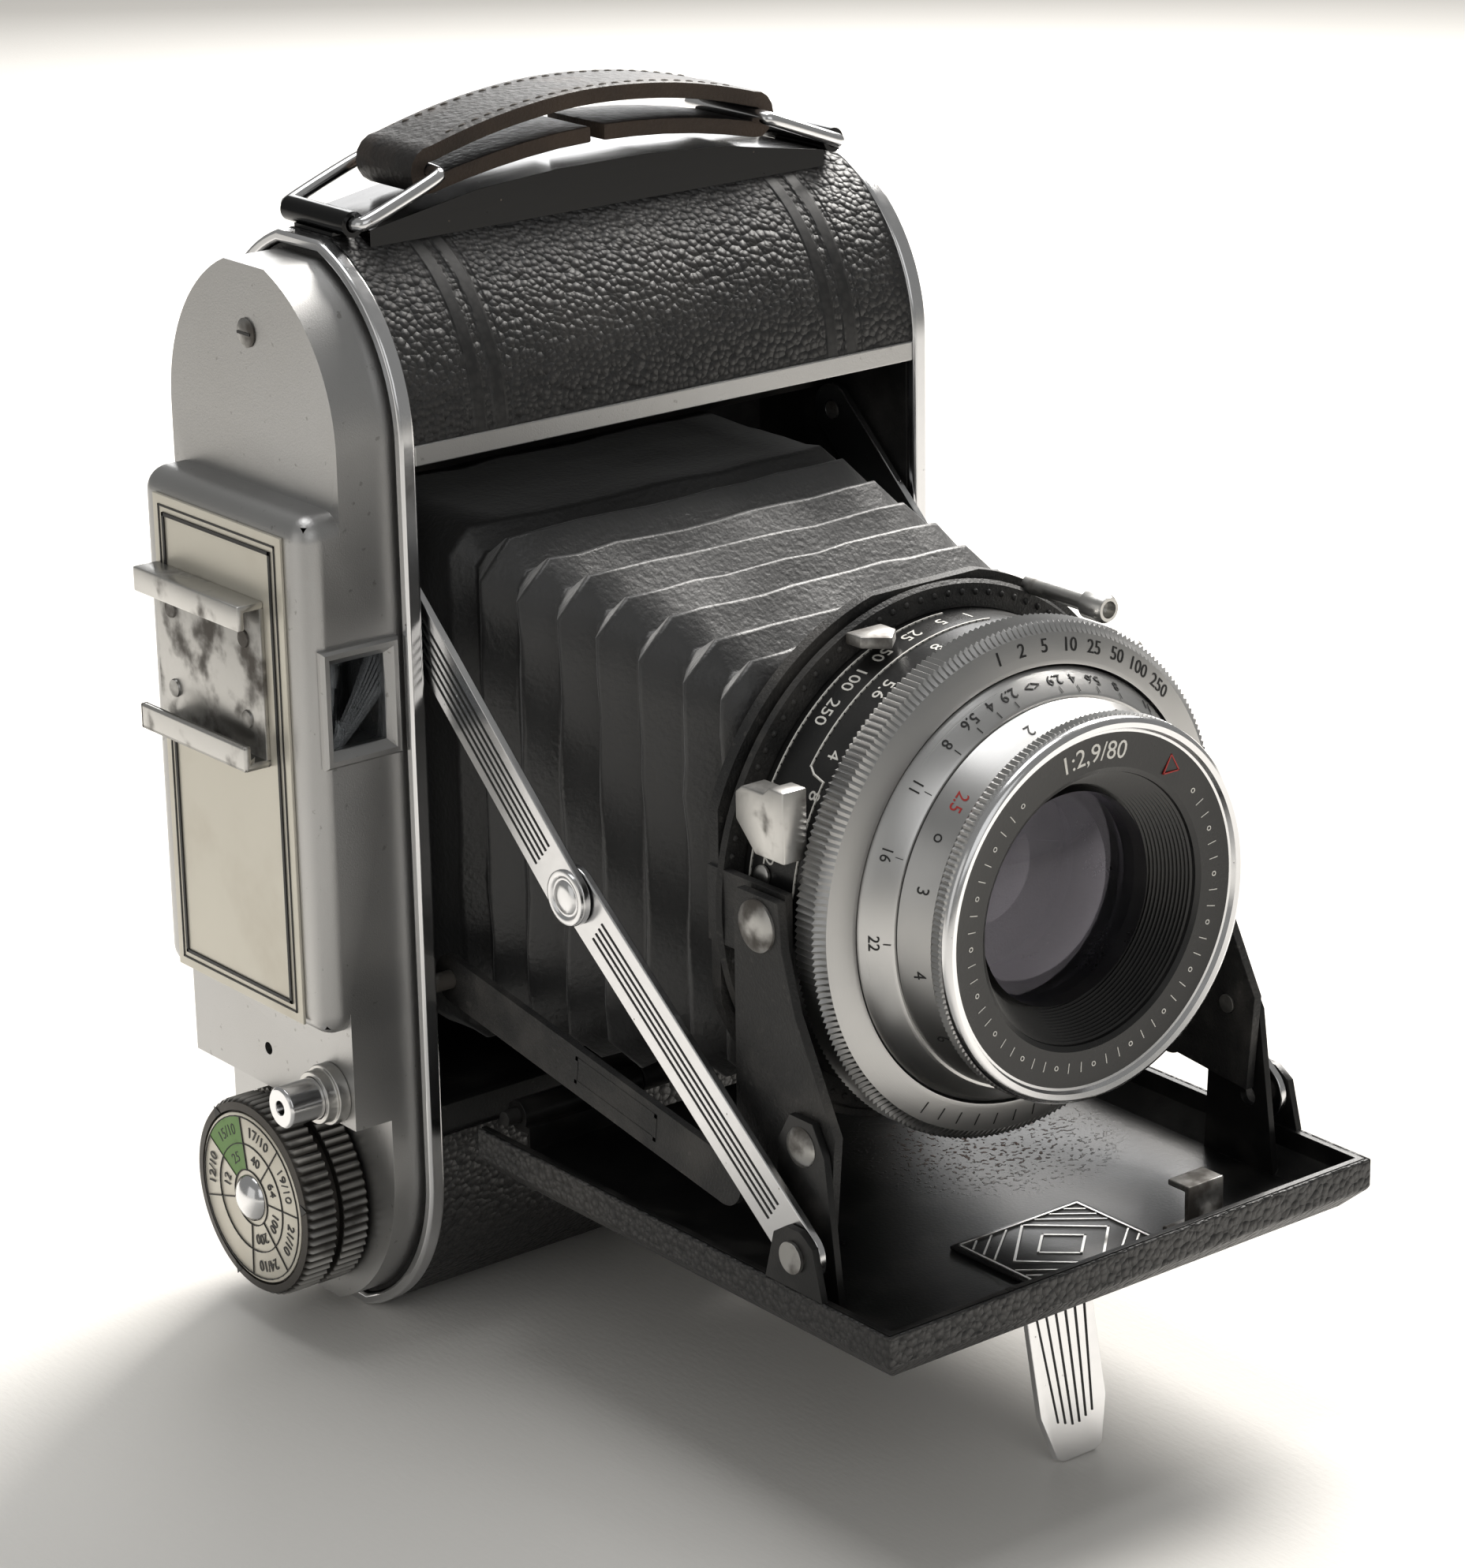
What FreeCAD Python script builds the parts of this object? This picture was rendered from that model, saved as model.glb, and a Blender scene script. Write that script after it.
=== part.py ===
import FreeCAD, Part
import math
import os
import re

import Sketcher
from FreeCAD import Placement, Rotation, Vector

# Folding bellows camera for 6 x 6 cm pictures, standing on one end with its bed open.
# Frame: +Z up, the lens looks along -Y, the winding side is at -X. The origin is the centre
# of the end flat that the camera stands on. Everything is in millimetres.

doc = FreeCAD.newDocument("folding_camera")
sheet = doc.addObject("Spreadsheet::Sheet", "Sizes")

sizes = {
    # body
    "body_height": 136.4, "body_depth": 40, "body_width": 76, "end_flat": 8.6, "arch_height": 22.1,
    "rim_width": 2.2, "rim_band": 1.5, "leather": 0.5, "leather_inset": 0.6, "shell_wall": 1.4,
    "side_plate": 1.4, "opening_low": 31, "opening_high": "body_height - 24.6", "strip_height": 2.5,
    "split": 30,
    "gap": 0.3, "running": 0.05, "far_away": 200,
    # film
    "spool_height": 17.2, "supply_y": 2.5, "supply_height": "body_height - 17.1", "flange_r": 12.4,
    "spool_length": 64.6,
    "core_r": 5.6, "flange_wall": 1.2, "frame_size": 56, "gate_depth": 31.2, "gate_wall": 1.2,
    "roller_r": 1.7,
    "door_hinge_height": "body_height - 1.4", "door_hinge_r": 1.1, "wall_sheet": 0.7,
    "pin_r": 2.2, "spindle_r": 2.0,
    # top housing
    "box_reach": "body_width / 2 + 15", "box_low": 43, "box_high": "body_height - 28.9", "box_round": 3,
    "lobe_reach": "body_width / 2 + 9.6",
    "step_reach": "body_width / 2 + 11.2", "step_low": 30.6, "floor_reach": "body_width / 2 + 6",
    "cover_wall": 1.1, "housing_inset": 2.3,
    "plate_width": 27.6, "plate_sheet": 0.4, "plate_low": 44.4, "plate_high": "body_height - 31.5",
    "shoe_width": 18.6, "shoe_height": "body_height - 50.2", "shoe_length": 23, "shoe_sheet": 0.9,
    "shoe_slot": 2.1,
    "window_height": "body_height - 52", "window_reach": "body_width / 2 + 8", "window_wide": 11,
    "window_tall": 14.4,
    "knob_r": 12.7, "knob_reach": "body_width / 2 + 15.2", "disc_r": 10.9, "cap_r": 2.6,
    "button_y": 6.8, "button_height": 34.4, "button_r": 2.6, "button_reach": "body_width / 2 + 19",
    "collar_r": 3.8,
    # strap
    "bar_half": "body_width / 2 - 3.6", "bar_depth": 14, "bar_rise": 4.2, "lug_r": 1.55,
    "lug_x": "body_width / 2 - 1.6", "wire_r": 0.9,
    "strap_wide": 11, "strap_sheet": 3.6,
    # bed
    "bed_half": "body_width / 2 - 0.6", "bed_front": 82.9, "bed_rear": 6.2, "bed_rim": 30.5,
    "bed_bottom": 24.2,
    "bed_wall": 0.8, "bed_floor": 25.5, "bed_skin": 0.6, "bed_chamfer": 2.6,
    "hinge_ahead": 4.2, "hinge_height": 29.5, "hinge_r": 1.0, "knuckle_r": 1.9,
    "foot_ahead": 68, "foot_height": 23.0, "foot_wide": 10.3, "foot_tip": 7.2, "foot_lean": 4.8,
    "foot_sheet": 0.9,
    # folding linkage, each point given as distance ahead of the body's front plane, and height
    "p_ahead": 64.0, "p_height": 46.0, "q_ahead": 55.5, "q_height": 69.6,
    "ear_ahead": 66.4, "ear_height": 34.5, "mid_ahead": 26, "mid_height": 65.8,
    "top_ahead": -14.5, "top_height": "body_height - 33.4", "link_ahead": -1.5, "link_height": 47,
    "tip_ahead": 51.5, "tip_height": 38.2, "strut_wide": 7, "strut_sheet": 1.0, "rivet_r": 3.1,
    "bracket_x": "body_width / 2 - 6.3", "bracket_sheet": 1.2, "link_x": "body_width / 2 - 3.85",
    "lower_x": "body_width / 2 - 2.75", "upper_x": "body_width / 2 - 1.55", "cap_height": 0.45,
    "stud_r": 1.15,
    "stud_hole_r": 1.2, "elbow_low": 45.4, "elbow_high": 57.2,
    # lens
    "lens_height": 68.7, "standard_r": 33, "standard_half": 30.9, "standard_trim": 32,
    "standard_back": 44.6, "standard_front": 46.2, "shutter_r": 28.8, "ring_r": 30.6,
    "ring_back": 58.8, "ring_front": 63.6, "band_front": 67.4, "cone_front": 72.2,
    "bezel_r": 22.6, "bezel_front": 75.7, "glass_r": 15.6, "barrel_r": 17.2, "cell_r": 13.5,
}
for row, (word, value) in enumerate(sizes.items(), 1):
    sheet.set("A%d" % row, "=" + str(value))
    sheet.setAlias("A%d" % row, word)
doc.recompute()

parts = []
body_pins = []      # spool pins, door pins and linkage studs, all fixed to the body


def linked(text):
    """A size expression with every word pointed at its cell."""
    return re.sub(r"\b[a-z]\w*\b(?!\()",
                  lambda m: "Sizes." + m.group(0) if m.group(0) in sizes else m.group(0),
                  str(text))


def number(text):
    return float(sheet.evalExpression(linked(text)))


def bind(obj, name, text):
    obj.setExpression(name, linked(text))


def ahead(distance):
    """Y of a point that lies some way ahead of the body's front plane."""
    return "-(body_depth / 2) - (%s)" % distance


def place(obj, x="0", y="0", z="0", turn=None):
    obj.Placement = Placement(Vector(), turn or Rotation())
    for letter, text in zip("xyz", (x, y, z)):
        bind(obj, "Placement.Base." + letter, text)
    return obj


def piece(name, obj):
    """Make an object a finished sub-part."""
    obj.Label = name
    parts.append(obj)
    return obj


def slab(name, xs, ys, zs):
    obj = doc.addObject("Part::Box", name)
    for size, span in zip(("Length", "Width", "Height"), (xs, ys, zs)):
        bind(obj, size, "(%s) - (%s)" % (span[1], span[0]))
    return place(obj, xs[0], ys[0], zs[0])


turns = {"X": Rotation(Vector(0, 1, 0), 90), "Y": Rotation(Vector(1, 0, 0), -90), "Z": Rotation()}


def rod(name, axis, start, radius, length):
    obj = doc.addObject("Part::Cylinder", name)
    bind(obj, "Radius", radius)
    bind(obj, "Height", length)
    return place(obj, *start, turn=turns[axis])


def fuse(name, *objs):
    obj = doc.addObject("Part::MultiFuse", name)
    obj.Shapes = list(objs)
    return obj


def cut(name, base, *tools):
    obj = doc.addObject("Part::Cut", name)
    obj.Base = base
    obj.Tool = tools[0] if len(tools) == 1 else fuse(name + "_tools", *tools)
    return obj


def common(name, *objs):
    obj = doc.addObject("Part::MultiCommon", name)
    obj.Shapes = list(objs)
    return obj


def group(name, *objs):
    """Separate solids that share one node."""
    obj = doc.addObject("Part::Compound", name)
    obj.Links = list(objs)
    return obj


def origin_plane(body, role):
    return [plane for plane in body.Origin.OriginFeatures if plane.Role == role][0]


def new_sketch(name, role):
    body = doc.addObject("PartDesign::Body", name)
    sketch = body.newObject("Sketcher::SketchObject", name + "_sketch")
    sketch.AttachmentSupport = [(origin_plane(body, role), "")]
    sketch.MapMode = "FlatFace"
    return body, sketch


def pin_point(sketch, line, end, across, up):
    """Fix one end of a line, or a centre, at bound coordinates."""
    for kind, text in (("DistanceX", across), ("DistanceY", up)):
        index = sketch.addConstraint(Sketcher.Constraint(kind, -1, 1, line, end, number(text)))
        bind(sketch, "Constraints[%d]" % index, text)


def polygon(sketch, points):
    spots = [Vector(number(a), number(b), 0) for a, b in points]
    count = len(points)
    for i in range(count):
        sketch.addGeometry(Part.LineSegment(spots[i], spots[(i + 1) % count]), False)
    for i in range(count):
        sketch.addConstraint(Sketcher.Constraint("Coincident", i, 2, (i + 1) % count, 1))
        pin_point(sketch, i, 1, *points[i])


def hole(sketch, across, up, radius):
    index = sketch.addGeometry(Part.Circle(Vector(number(across), number(up), 0), Vector(0, 0, 1),
                                           number(radius)))
    pin_point(sketch, index, 3, across, up)
    size = sketch.addConstraint(Sketcher.Constraint("Radius", index, number(radius)))
    bind(sketch, "Constraints[%d]" % size, radius)


def padded(body, sketch, thickness):
    pad = body.newObject("PartDesign::Pad", body.Name + "_pad")
    pad.Profile = sketch
    bind(pad, "Length", thickness)
    sketch.Visibility = False
    return body


def prism(name, role, points, thickness, start=("0", "0", "0"), holes=(), turn=None):
    """A flat piece: a drawn outline with holes, padded along the plane's normal."""
    body, sketch = new_sketch(name, role)
    polygon(sketch, points)
    for spot in holes:
        hole(sketch, *spot)
    padded(body, sketch, thickness)
    return place(body, *start, turn=turn)


def bar(name, x, p, q, width, thickness, holes=()):
    """A round-ended flat bar in a YZ plane, from one pivot to another."""
    body, sketch = new_sketch(name, "YZ_Plane")
    ends = [Vector(number(a), number(b), 0) for a, b in (p, q)]
    r = number(width) / 2
    angle = math.atan2(ends[1].y - ends[0].y, ends[1].x - ends[0].x)
    side = Vector(-math.sin(angle), math.cos(angle), 0) * r
    sketch.addGeometry(Part.LineSegment(ends[0] + side, ends[1] + side))
    sketch.addGeometry(Part.LineSegment(ends[1] - side, ends[0] - side))
    flat = Vector(0, 0, 1)
    sketch.addGeometry(Part.ArcOfCircle(Part.Circle(ends[0], flat, r), angle + math.pi / 2,
                                        angle + 1.5 * math.pi))
    sketch.addGeometry(Part.ArcOfCircle(Part.Circle(ends[1], flat, r), angle - math.pi / 2,
                                        angle + math.pi / 2))
    sketch.addConstraint(Sketcher.Constraint("Tangent", 0, 1, 2, 1))
    sketch.addConstraint(Sketcher.Constraint("Tangent", 0, 2, 3, 2))
    sketch.addConstraint(Sketcher.Constraint("Tangent", 1, 1, 3, 1))
    sketch.addConstraint(Sketcher.Constraint("Tangent", 1, 2, 2, 2))
    pin_point(sketch, 2, 3, *p)
    pin_point(sketch, 3, 3, *q)
    size = sketch.addConstraint(Sketcher.Constraint("Radius", 2, r))
    bind(sketch, "Constraints[%d]" % size, "(%s) / 2" % width)
    for spot in holes:
        hole(sketch, *spot)
    padded(body, sketch, thickness)
    return place(body, x)


def turned(name, axis, points, centre=("0", "0", "0")):
    """A round piece: a profile of (along the axis, radius) points, turned a full circle."""
    role = {"X": "XY_Plane", "Y": "YZ_Plane", "Z": "XZ_Plane"}[axis]
    body, sketch = new_sketch(name, role)
    polygon(sketch, [(r, a) for a, r in points] if axis == "Z" else points)
    spin = body.newObject("PartDesign::Revolution", name + "_turn")
    spin.Profile = sketch
    spin.ReferenceAxis = (sketch, ["V_Axis" if axis == "Z" else "H_Axis"])
    spin.Angle = 360
    sketch.Visibility = False
    return place(body, *centre)


def outline(name, low, high, front, ends):
    """The camera's side outline as a solid from x=low to x=high, drawn in by front and ends."""
    body, sketch = new_sketch(name, "YZ_Plane")
    y = "body_depth / 2 - (%s)" % front
    top = "body_height - (%s)" % ends
    bottom = "(%s)" % ends
    shoulder = ("arch_height", "body_height - arch_height")
    flat = "end_flat / 2"
    corners = [("-(%s)" % y, shoulder[0]), ("-(%s)" % y, shoulder[1]), ("-(%s)" % flat, top), (flat, top),
               (y, shoulder[1]), (y, shoulder[0]), (flat, bottom), ("-(%s)" % flat, bottom)]
    spots = [Vector(number(a), number(b), 0) for a, b in corners]
    rise = number(top) - number(shoulder[1])
    run = number(y) - number(flat)
    radius = (run * run + rise * rise) / (2 * run)
    middle = number(y) - radius
    for i in (0, 2, 4, 6):
        sketch.addGeometry(Part.LineSegment(spots[i], spots[i + 1]))
        pin_point(sketch, i // 2, 1, *corners[i])
        pin_point(sketch, i // 2, 2, *corners[i + 1])
    half = math.asin(rise / radius)
    arcs = [(-middle, 1, math.pi - half, math.pi, 1, 0), (middle, 1, 0, half, 1, 2),
            (middle, 0, -half, 0, 3, 2), (-middle, 0, math.pi, math.pi + half, 3, 0)]
    for number_of, (across, level, first, last, flat_line, side_line) in enumerate(arcs):
        circle = Part.Circle(Vector(across, number(shoulder[level]), 0), Vector(0, 0, 1), radius)
        arc = sketch.addGeometry(Part.ArcOfCircle(circle, first, last))
        joins = {0: ((1, 1, 1), (2, 0, 2)), 1: ((1, 2, 1), (2, 1, 2)),
                 2: ((1, 3, 1), (2, 2, 2)), 3: ((1, 0, 1), (2, 3, 2))}[number_of]
        for end, line, line_end in joins:
            sketch.addConstraint(Sketcher.Constraint("Coincident", arc, end, line, line_end))
        level_at = sketch.addConstraint(Sketcher.Constraint("DistanceY", -1, 1, arc, 3,
                                                            number(shoulder[level])))
        bind(sketch, "Constraints[%d]" % level_at, shoulder[level])
    padded(body, sketch, "(%s) - (%s)" % (high, low))
    return place(body, low)


half = "body_width / 2"
front = "body_depth / 2"
rim_face = half + " + rim_width"
sides = (("left", -1), ("right", 1))


def span(side, inner, outer):
    """The low and high x of a sheet that lies between two distances from the middle."""
    return (inner, outer) if side > 0 else ("-(%s)" % outer, "-(%s)" % inner)


# ---------------------------------------------------------------- casing
def casing():
    skin = "leather + leather_inset"
    outer = outline("shell_outer", "-(%s)" % half, half, skin, "leather")
    inner = outline("shell_inner", "-(%s) - 1" % half, half + " + 1", skin + " + shell_wall",
                    "leather + shell_wall")
    mouth = slab("shell_mouth", ("-(%s) - 1" % half, half + " + 1"), ("-(%s) - 1" % front, "0"),
                 ("opening_low", "opening_high"))
    behind = slab("shell_behind", ("-(%s) - 1" % half, half + " + 1"),
                  ("split - (%s) - gap / 2" % front, "far_away"),
                  ("-1", "body_height + 1"))
    tube = cut("shell_tube", outer, inner, mouth, behind)
    plates = []
    for word, side in sides:
        low, high = span(side, half, half + " + side_plate")
        plate = outline("side_plate_" + word, low, high, "rim_band + 0.1", "rim_band + 0.1")
        plates.append(plate)
    walls = []
    start, end = "-(%s) + %s + shell_wall / 2" % (front, skin), "gate_depth - (%s)" % front
    walls.append(slab("chamber_wall_lower", ("-(%s)" % half, half), (start, end),
                      ("opening_low - 0.2 - wall_sheet", "opening_low - 0.2")))
    # the upper wall steps down behind the folded lens to make room for the full spool
    high, low = "opening_high + 0.2", "supply_height - flange_r - 0.9"
    walls.append(prism("chamber_wall_upper", "YZ_Plane",
                       [(start, high), ("supply_y - 11.9", high), ("supply_y - 4.4", low + " - wall_sheet"),
                        (end, low + " - wall_sheet"), (end, low), ("supply_y - 4", low),
                        ("supply_y - 11.5", high + " + wall_sheet"), (start, high + " + wall_sheet")],
                       "body_width", ("-(%s)" % half, "0", "0")))
    whole = fuse("shell_whole", tube, *plates, *walls)
    spindle = [rod("spindle_hole", "X", ("-(%s) - side_plate - 1" % half, "0", "spool_height"),
                   "spindle_r + running", "side_plate + 2")]
    piece("body_shell", cut("body_shell", whole, *spindle))

    for name, low, high in (("upper_leather", "opening_high + strip_height", "body_height + 1"),
                            ("lower_leather", "-1", "hinge_height - knuckle_r - gap")):
        tag = name + "_"
        sheet_ring = cut(tag + "ring", outline(tag + "out", "-(%s)" % half, half, "leather_inset", "0"),
                         outline(tag + "in", "-(%s) - 1" % half, half + " + 1", skin, "leather"))
        zone = slab(tag + "zone", ("-(%s)" % half, half),
                    ("-(%s) - 1" % front, "split - (%s) - gap / 2" % front),
                    (low, high))
        piece(name, common(name, sheet_ring, zone))

    piece("trim_strip", slab("trim_strip", ("-(%s)" % half, half),
                             ("-(%s) + 0.3" % front, "-(%s) + %s" % (front, skin)),
                             ("opening_high", "opening_high + strip_height")))
    for name, side in (("rim_winding_side", -1), ("rim_base_side", 1)):
        low, high = span(side, half, rim_face)
        piece(name, cut(name, outline(name + "_out", low, high, "0", "0"),
                        outline(name + "_in", low + " - 1", high + " + 1", "rim_band", "rim_band")))
    low, high = half + " + side_plate", half + " + side_plate + 2"
    dish = outline("base_dish", low, high, "rim_band + 0.3", "rim_band + 0.3")
    bush_hole = rod("base_hole", "X", (low + " - 1", "0", "body_height / 2"), "8.05", "5")
    button_hole = rod("base_button_hole", "X", (low + " - 1", "-9", "opening_high - 12"), "3 + running",
                      "5")
    piece("base_cover", cut("base_cover", dish, bush_hole, button_hole))
    piece("tripod_bush", turned("tripod_bush", "X", [(low, "4.76"), (low, "8"), (low + " + 2.6", "8"),
                                                    (low + " + 3.4", "7.2"), (low + " + 3.4", "4.76")],
                                ("0", "0", "body_height / 2")))
    piece("bed_release_button", turned("bed_release_button", "X",
                                       [(low + " + 1.3", "0"), (low + " + 1.3", "3"), (low + " + 3.4", "3"),
                                        (low + " + 3.8", "2.4"), (low + " + 3.8", "0")],
                                       ("0", "-9", "opening_high - 12")))


# ---------------------------------------------------------------- film side
def film_side():
    gate_front = "gate_depth - (%s)" % front
    gate_back = gate_front + " + gate_wall"
    plate = slab("gate_plate", ("-(%s)" % half, half), (gate_front, gate_back),
                 ("opening_low - 0.2 - wall_sheet", "supply_height - flange_r - 0.9"))
    window = slab("gate_window", ("-frame_size / 2", "frame_size / 2"),
                  (gate_front + " - 1", gate_back + " + 1"),
                  ("lens_height - frame_size / 2", "lens_height + frame_size / 2"))
    elbows = []         # the folded struts' elbows pass through these
    for word, side in sides:
        low, high = span(side, "lower_x - 0.6", half + " + 1")
        elbows.append(slab("gate_elbow_" + word, (low, high), (gate_front + " - 1", gate_back + " + 1"),
                           ("elbow_low", "elbow_high")))
    piece("film_gate", cut("film_gate", plate, window, *elbows))
    for name, level in (("film_roller_upper", "supply_height - flange_r + 0.6"),
                        ("film_roller_lower", "opening_low + 4")):
        piece(name, turned(name, "X", [("-spool_length / 2", "0"), ("-spool_length / 2", "roller_r"),
                                       ("spool_length / 2", "roller_r"), ("spool_length / 2", "0")],
                           ("0", gate_back + " + roller_r + 0.1", level)))
    bore = "pin_r + running"
    for name, depth, level in (("takeup_spool", "0", "spool_height"),
                               ("supply_spool", "supply_y", "supply_height")):
        end = "spool_length / 2"
        profile = [("-" + end, bore), ("-" + end, "flange_r"), ("-%s + flange_wall" % end, "flange_r"),
                   ("-%s + flange_wall" % end, "core_r"), (end + " - flange_wall", "core_r"),
                   (end + " - flange_wall", "flange_r"), (end, "flange_r"), (end, bore)]
        piece(name, turned(name, "X", profile, ("0", depth, level)))
    pins = []
    for tag, depth, level, ways in (("take", "0", "spool_height", (1,)),
                                    ("supply", "supply_y", "supply_height", (-1, 1))):
        for way in ways:
            low, high = span(way, "spool_length / 2 - 3", half)
            stem = rod("pin_%s_%d" % (tag, way + 1), "X", (low, depth, level), "pin_r",
                       "(%s) - (%s)" % (high, low))
            low, high = span(way, "spool_length / 2 + gap", half)
            pad = rod("pin_pad_%s_%d" % (tag, way + 1), "X", (low, depth, level), "pin_r + 1.4",
                      "(%s) - (%s)" % (high, low))
            pins.append(fuse("spool_pin_%s_%d" % (tag, way + 1), stem, pad))
    body_pins.extend(pins)

    inside = "(leather + shell_wall)"
    reach = "%s - gap" % half
    outer = outline("door_outer", "-(%s)" % reach, reach, "leather_inset", "0")
    inner = outline("door_inner", "-(%s) - 1" % reach, reach + " + 1", "leather_inset + " + inside, inside)
    ahead_of = slab("door_front", ("-(%s) - 1" % half, half + " + 1"), ("-(%s) - 1" % front,
                    "split - (%s) + gap / 2" % front), ("-1", "body_height + 1"))
    red_hole = rod("door_hole", "Y", ("0", "%s - 4" % front, "lens_height"), "4", "6")
    shell = cut("door_shell", outer, inner, ahead_of, red_hole)
    # the hinge tube runs along the split, just outside the skin
    hinge_y, hinge_z = "split - (%s)" % front, "door_hinge_height"
    barrel = rod("door_barrel", "X", ("-19.7", hinge_y, hinge_z), "door_hinge_r", "39.4")
    web = slab("door_web", ("-19.7", "19.7"), (hinge_y + " + 0.35", hinge_y + " + 1.05"),
               (hinge_z + " - 2.6", hinge_z))
    bore = rod("door_bore", "X", ("-25", hinge_y, hinge_z), "0.55 + running", "50")
    piece("back_door", cut("back_door", fuse("door_whole", shell, barrel, web), bore))
    pin = rod("door_pin", "X", ("-30", hinge_y, hinge_z), "0.55", "60")
    ends = []
    for word, side in sides:
        low, high = span(side, "20", "30")
        ends.append(rod("door_knuckle_" + word, "X", (low, hinge_y, hinge_z), "door_hinge_r", "10"))
        ends.append(slab("door_strip_" + word, (low, high), (hinge_y + " - 1.05", hinge_y + " - 0.35"),
                         (hinge_z + " - 1.05", hinge_z)))
    body_pins.append(fuse("door_hinge", pin, *ends))
    back = "%s - leather_inset - %s" % (front, inside)
    flat_plate = slab("pressure_flat", ("-frame_size / 2 - 3", "frame_size / 2 + 3"),
                                 (gate_back + " + 0.6", gate_back + " + 1.4"),
                                 ("lens_height - frame_size / 2 - 3", "lens_height + frame_size / 2 + 3"))
    leaves = []
    for word, side in sides:
        low, high = span(side, "12", "18")
        low_y, high_y = gate_back + " + 1.4", back
        middle = "lens_height"
        leaves.append(prism("leaf_" + word, "YZ_Plane",
                            [(high_y, middle + " - 22"), (low_y + " + 0.5", middle + " - 4"),
                             (low_y + " + 0.5", middle + " + 4"), (high_y, middle + " + 22"),
                             (high_y + " - 0.5", middle + " + 22"), (low_y, middle + " + 4"),
                             (low_y, middle + " - 4"), (high_y + " - 0.5", middle + " - 22")],
                            "(%s) - (%s)" % (high, low), (low, "0", "0")))
    piece("pressure_plate", group("pressure_plate", flat_plate, *leaves))
    piece("window_glass", rod("window_glass", "Y", ("0", back, "lens_height"), "4 - running", "0.8"))
    skin = "%s - leather_inset" % front
    piece("window_slide", slab("window_slide", ("-6", "6"), (skin + " + 0.1", skin + " + 1.1"),
                               ("lens_height - 6", "lens_height + 12")))
    piece("back_latch", slab("back_latch", ("-6", "6"), (skin + " + 0.1", skin + " + 1.9"), ("26", "36")))


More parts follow.
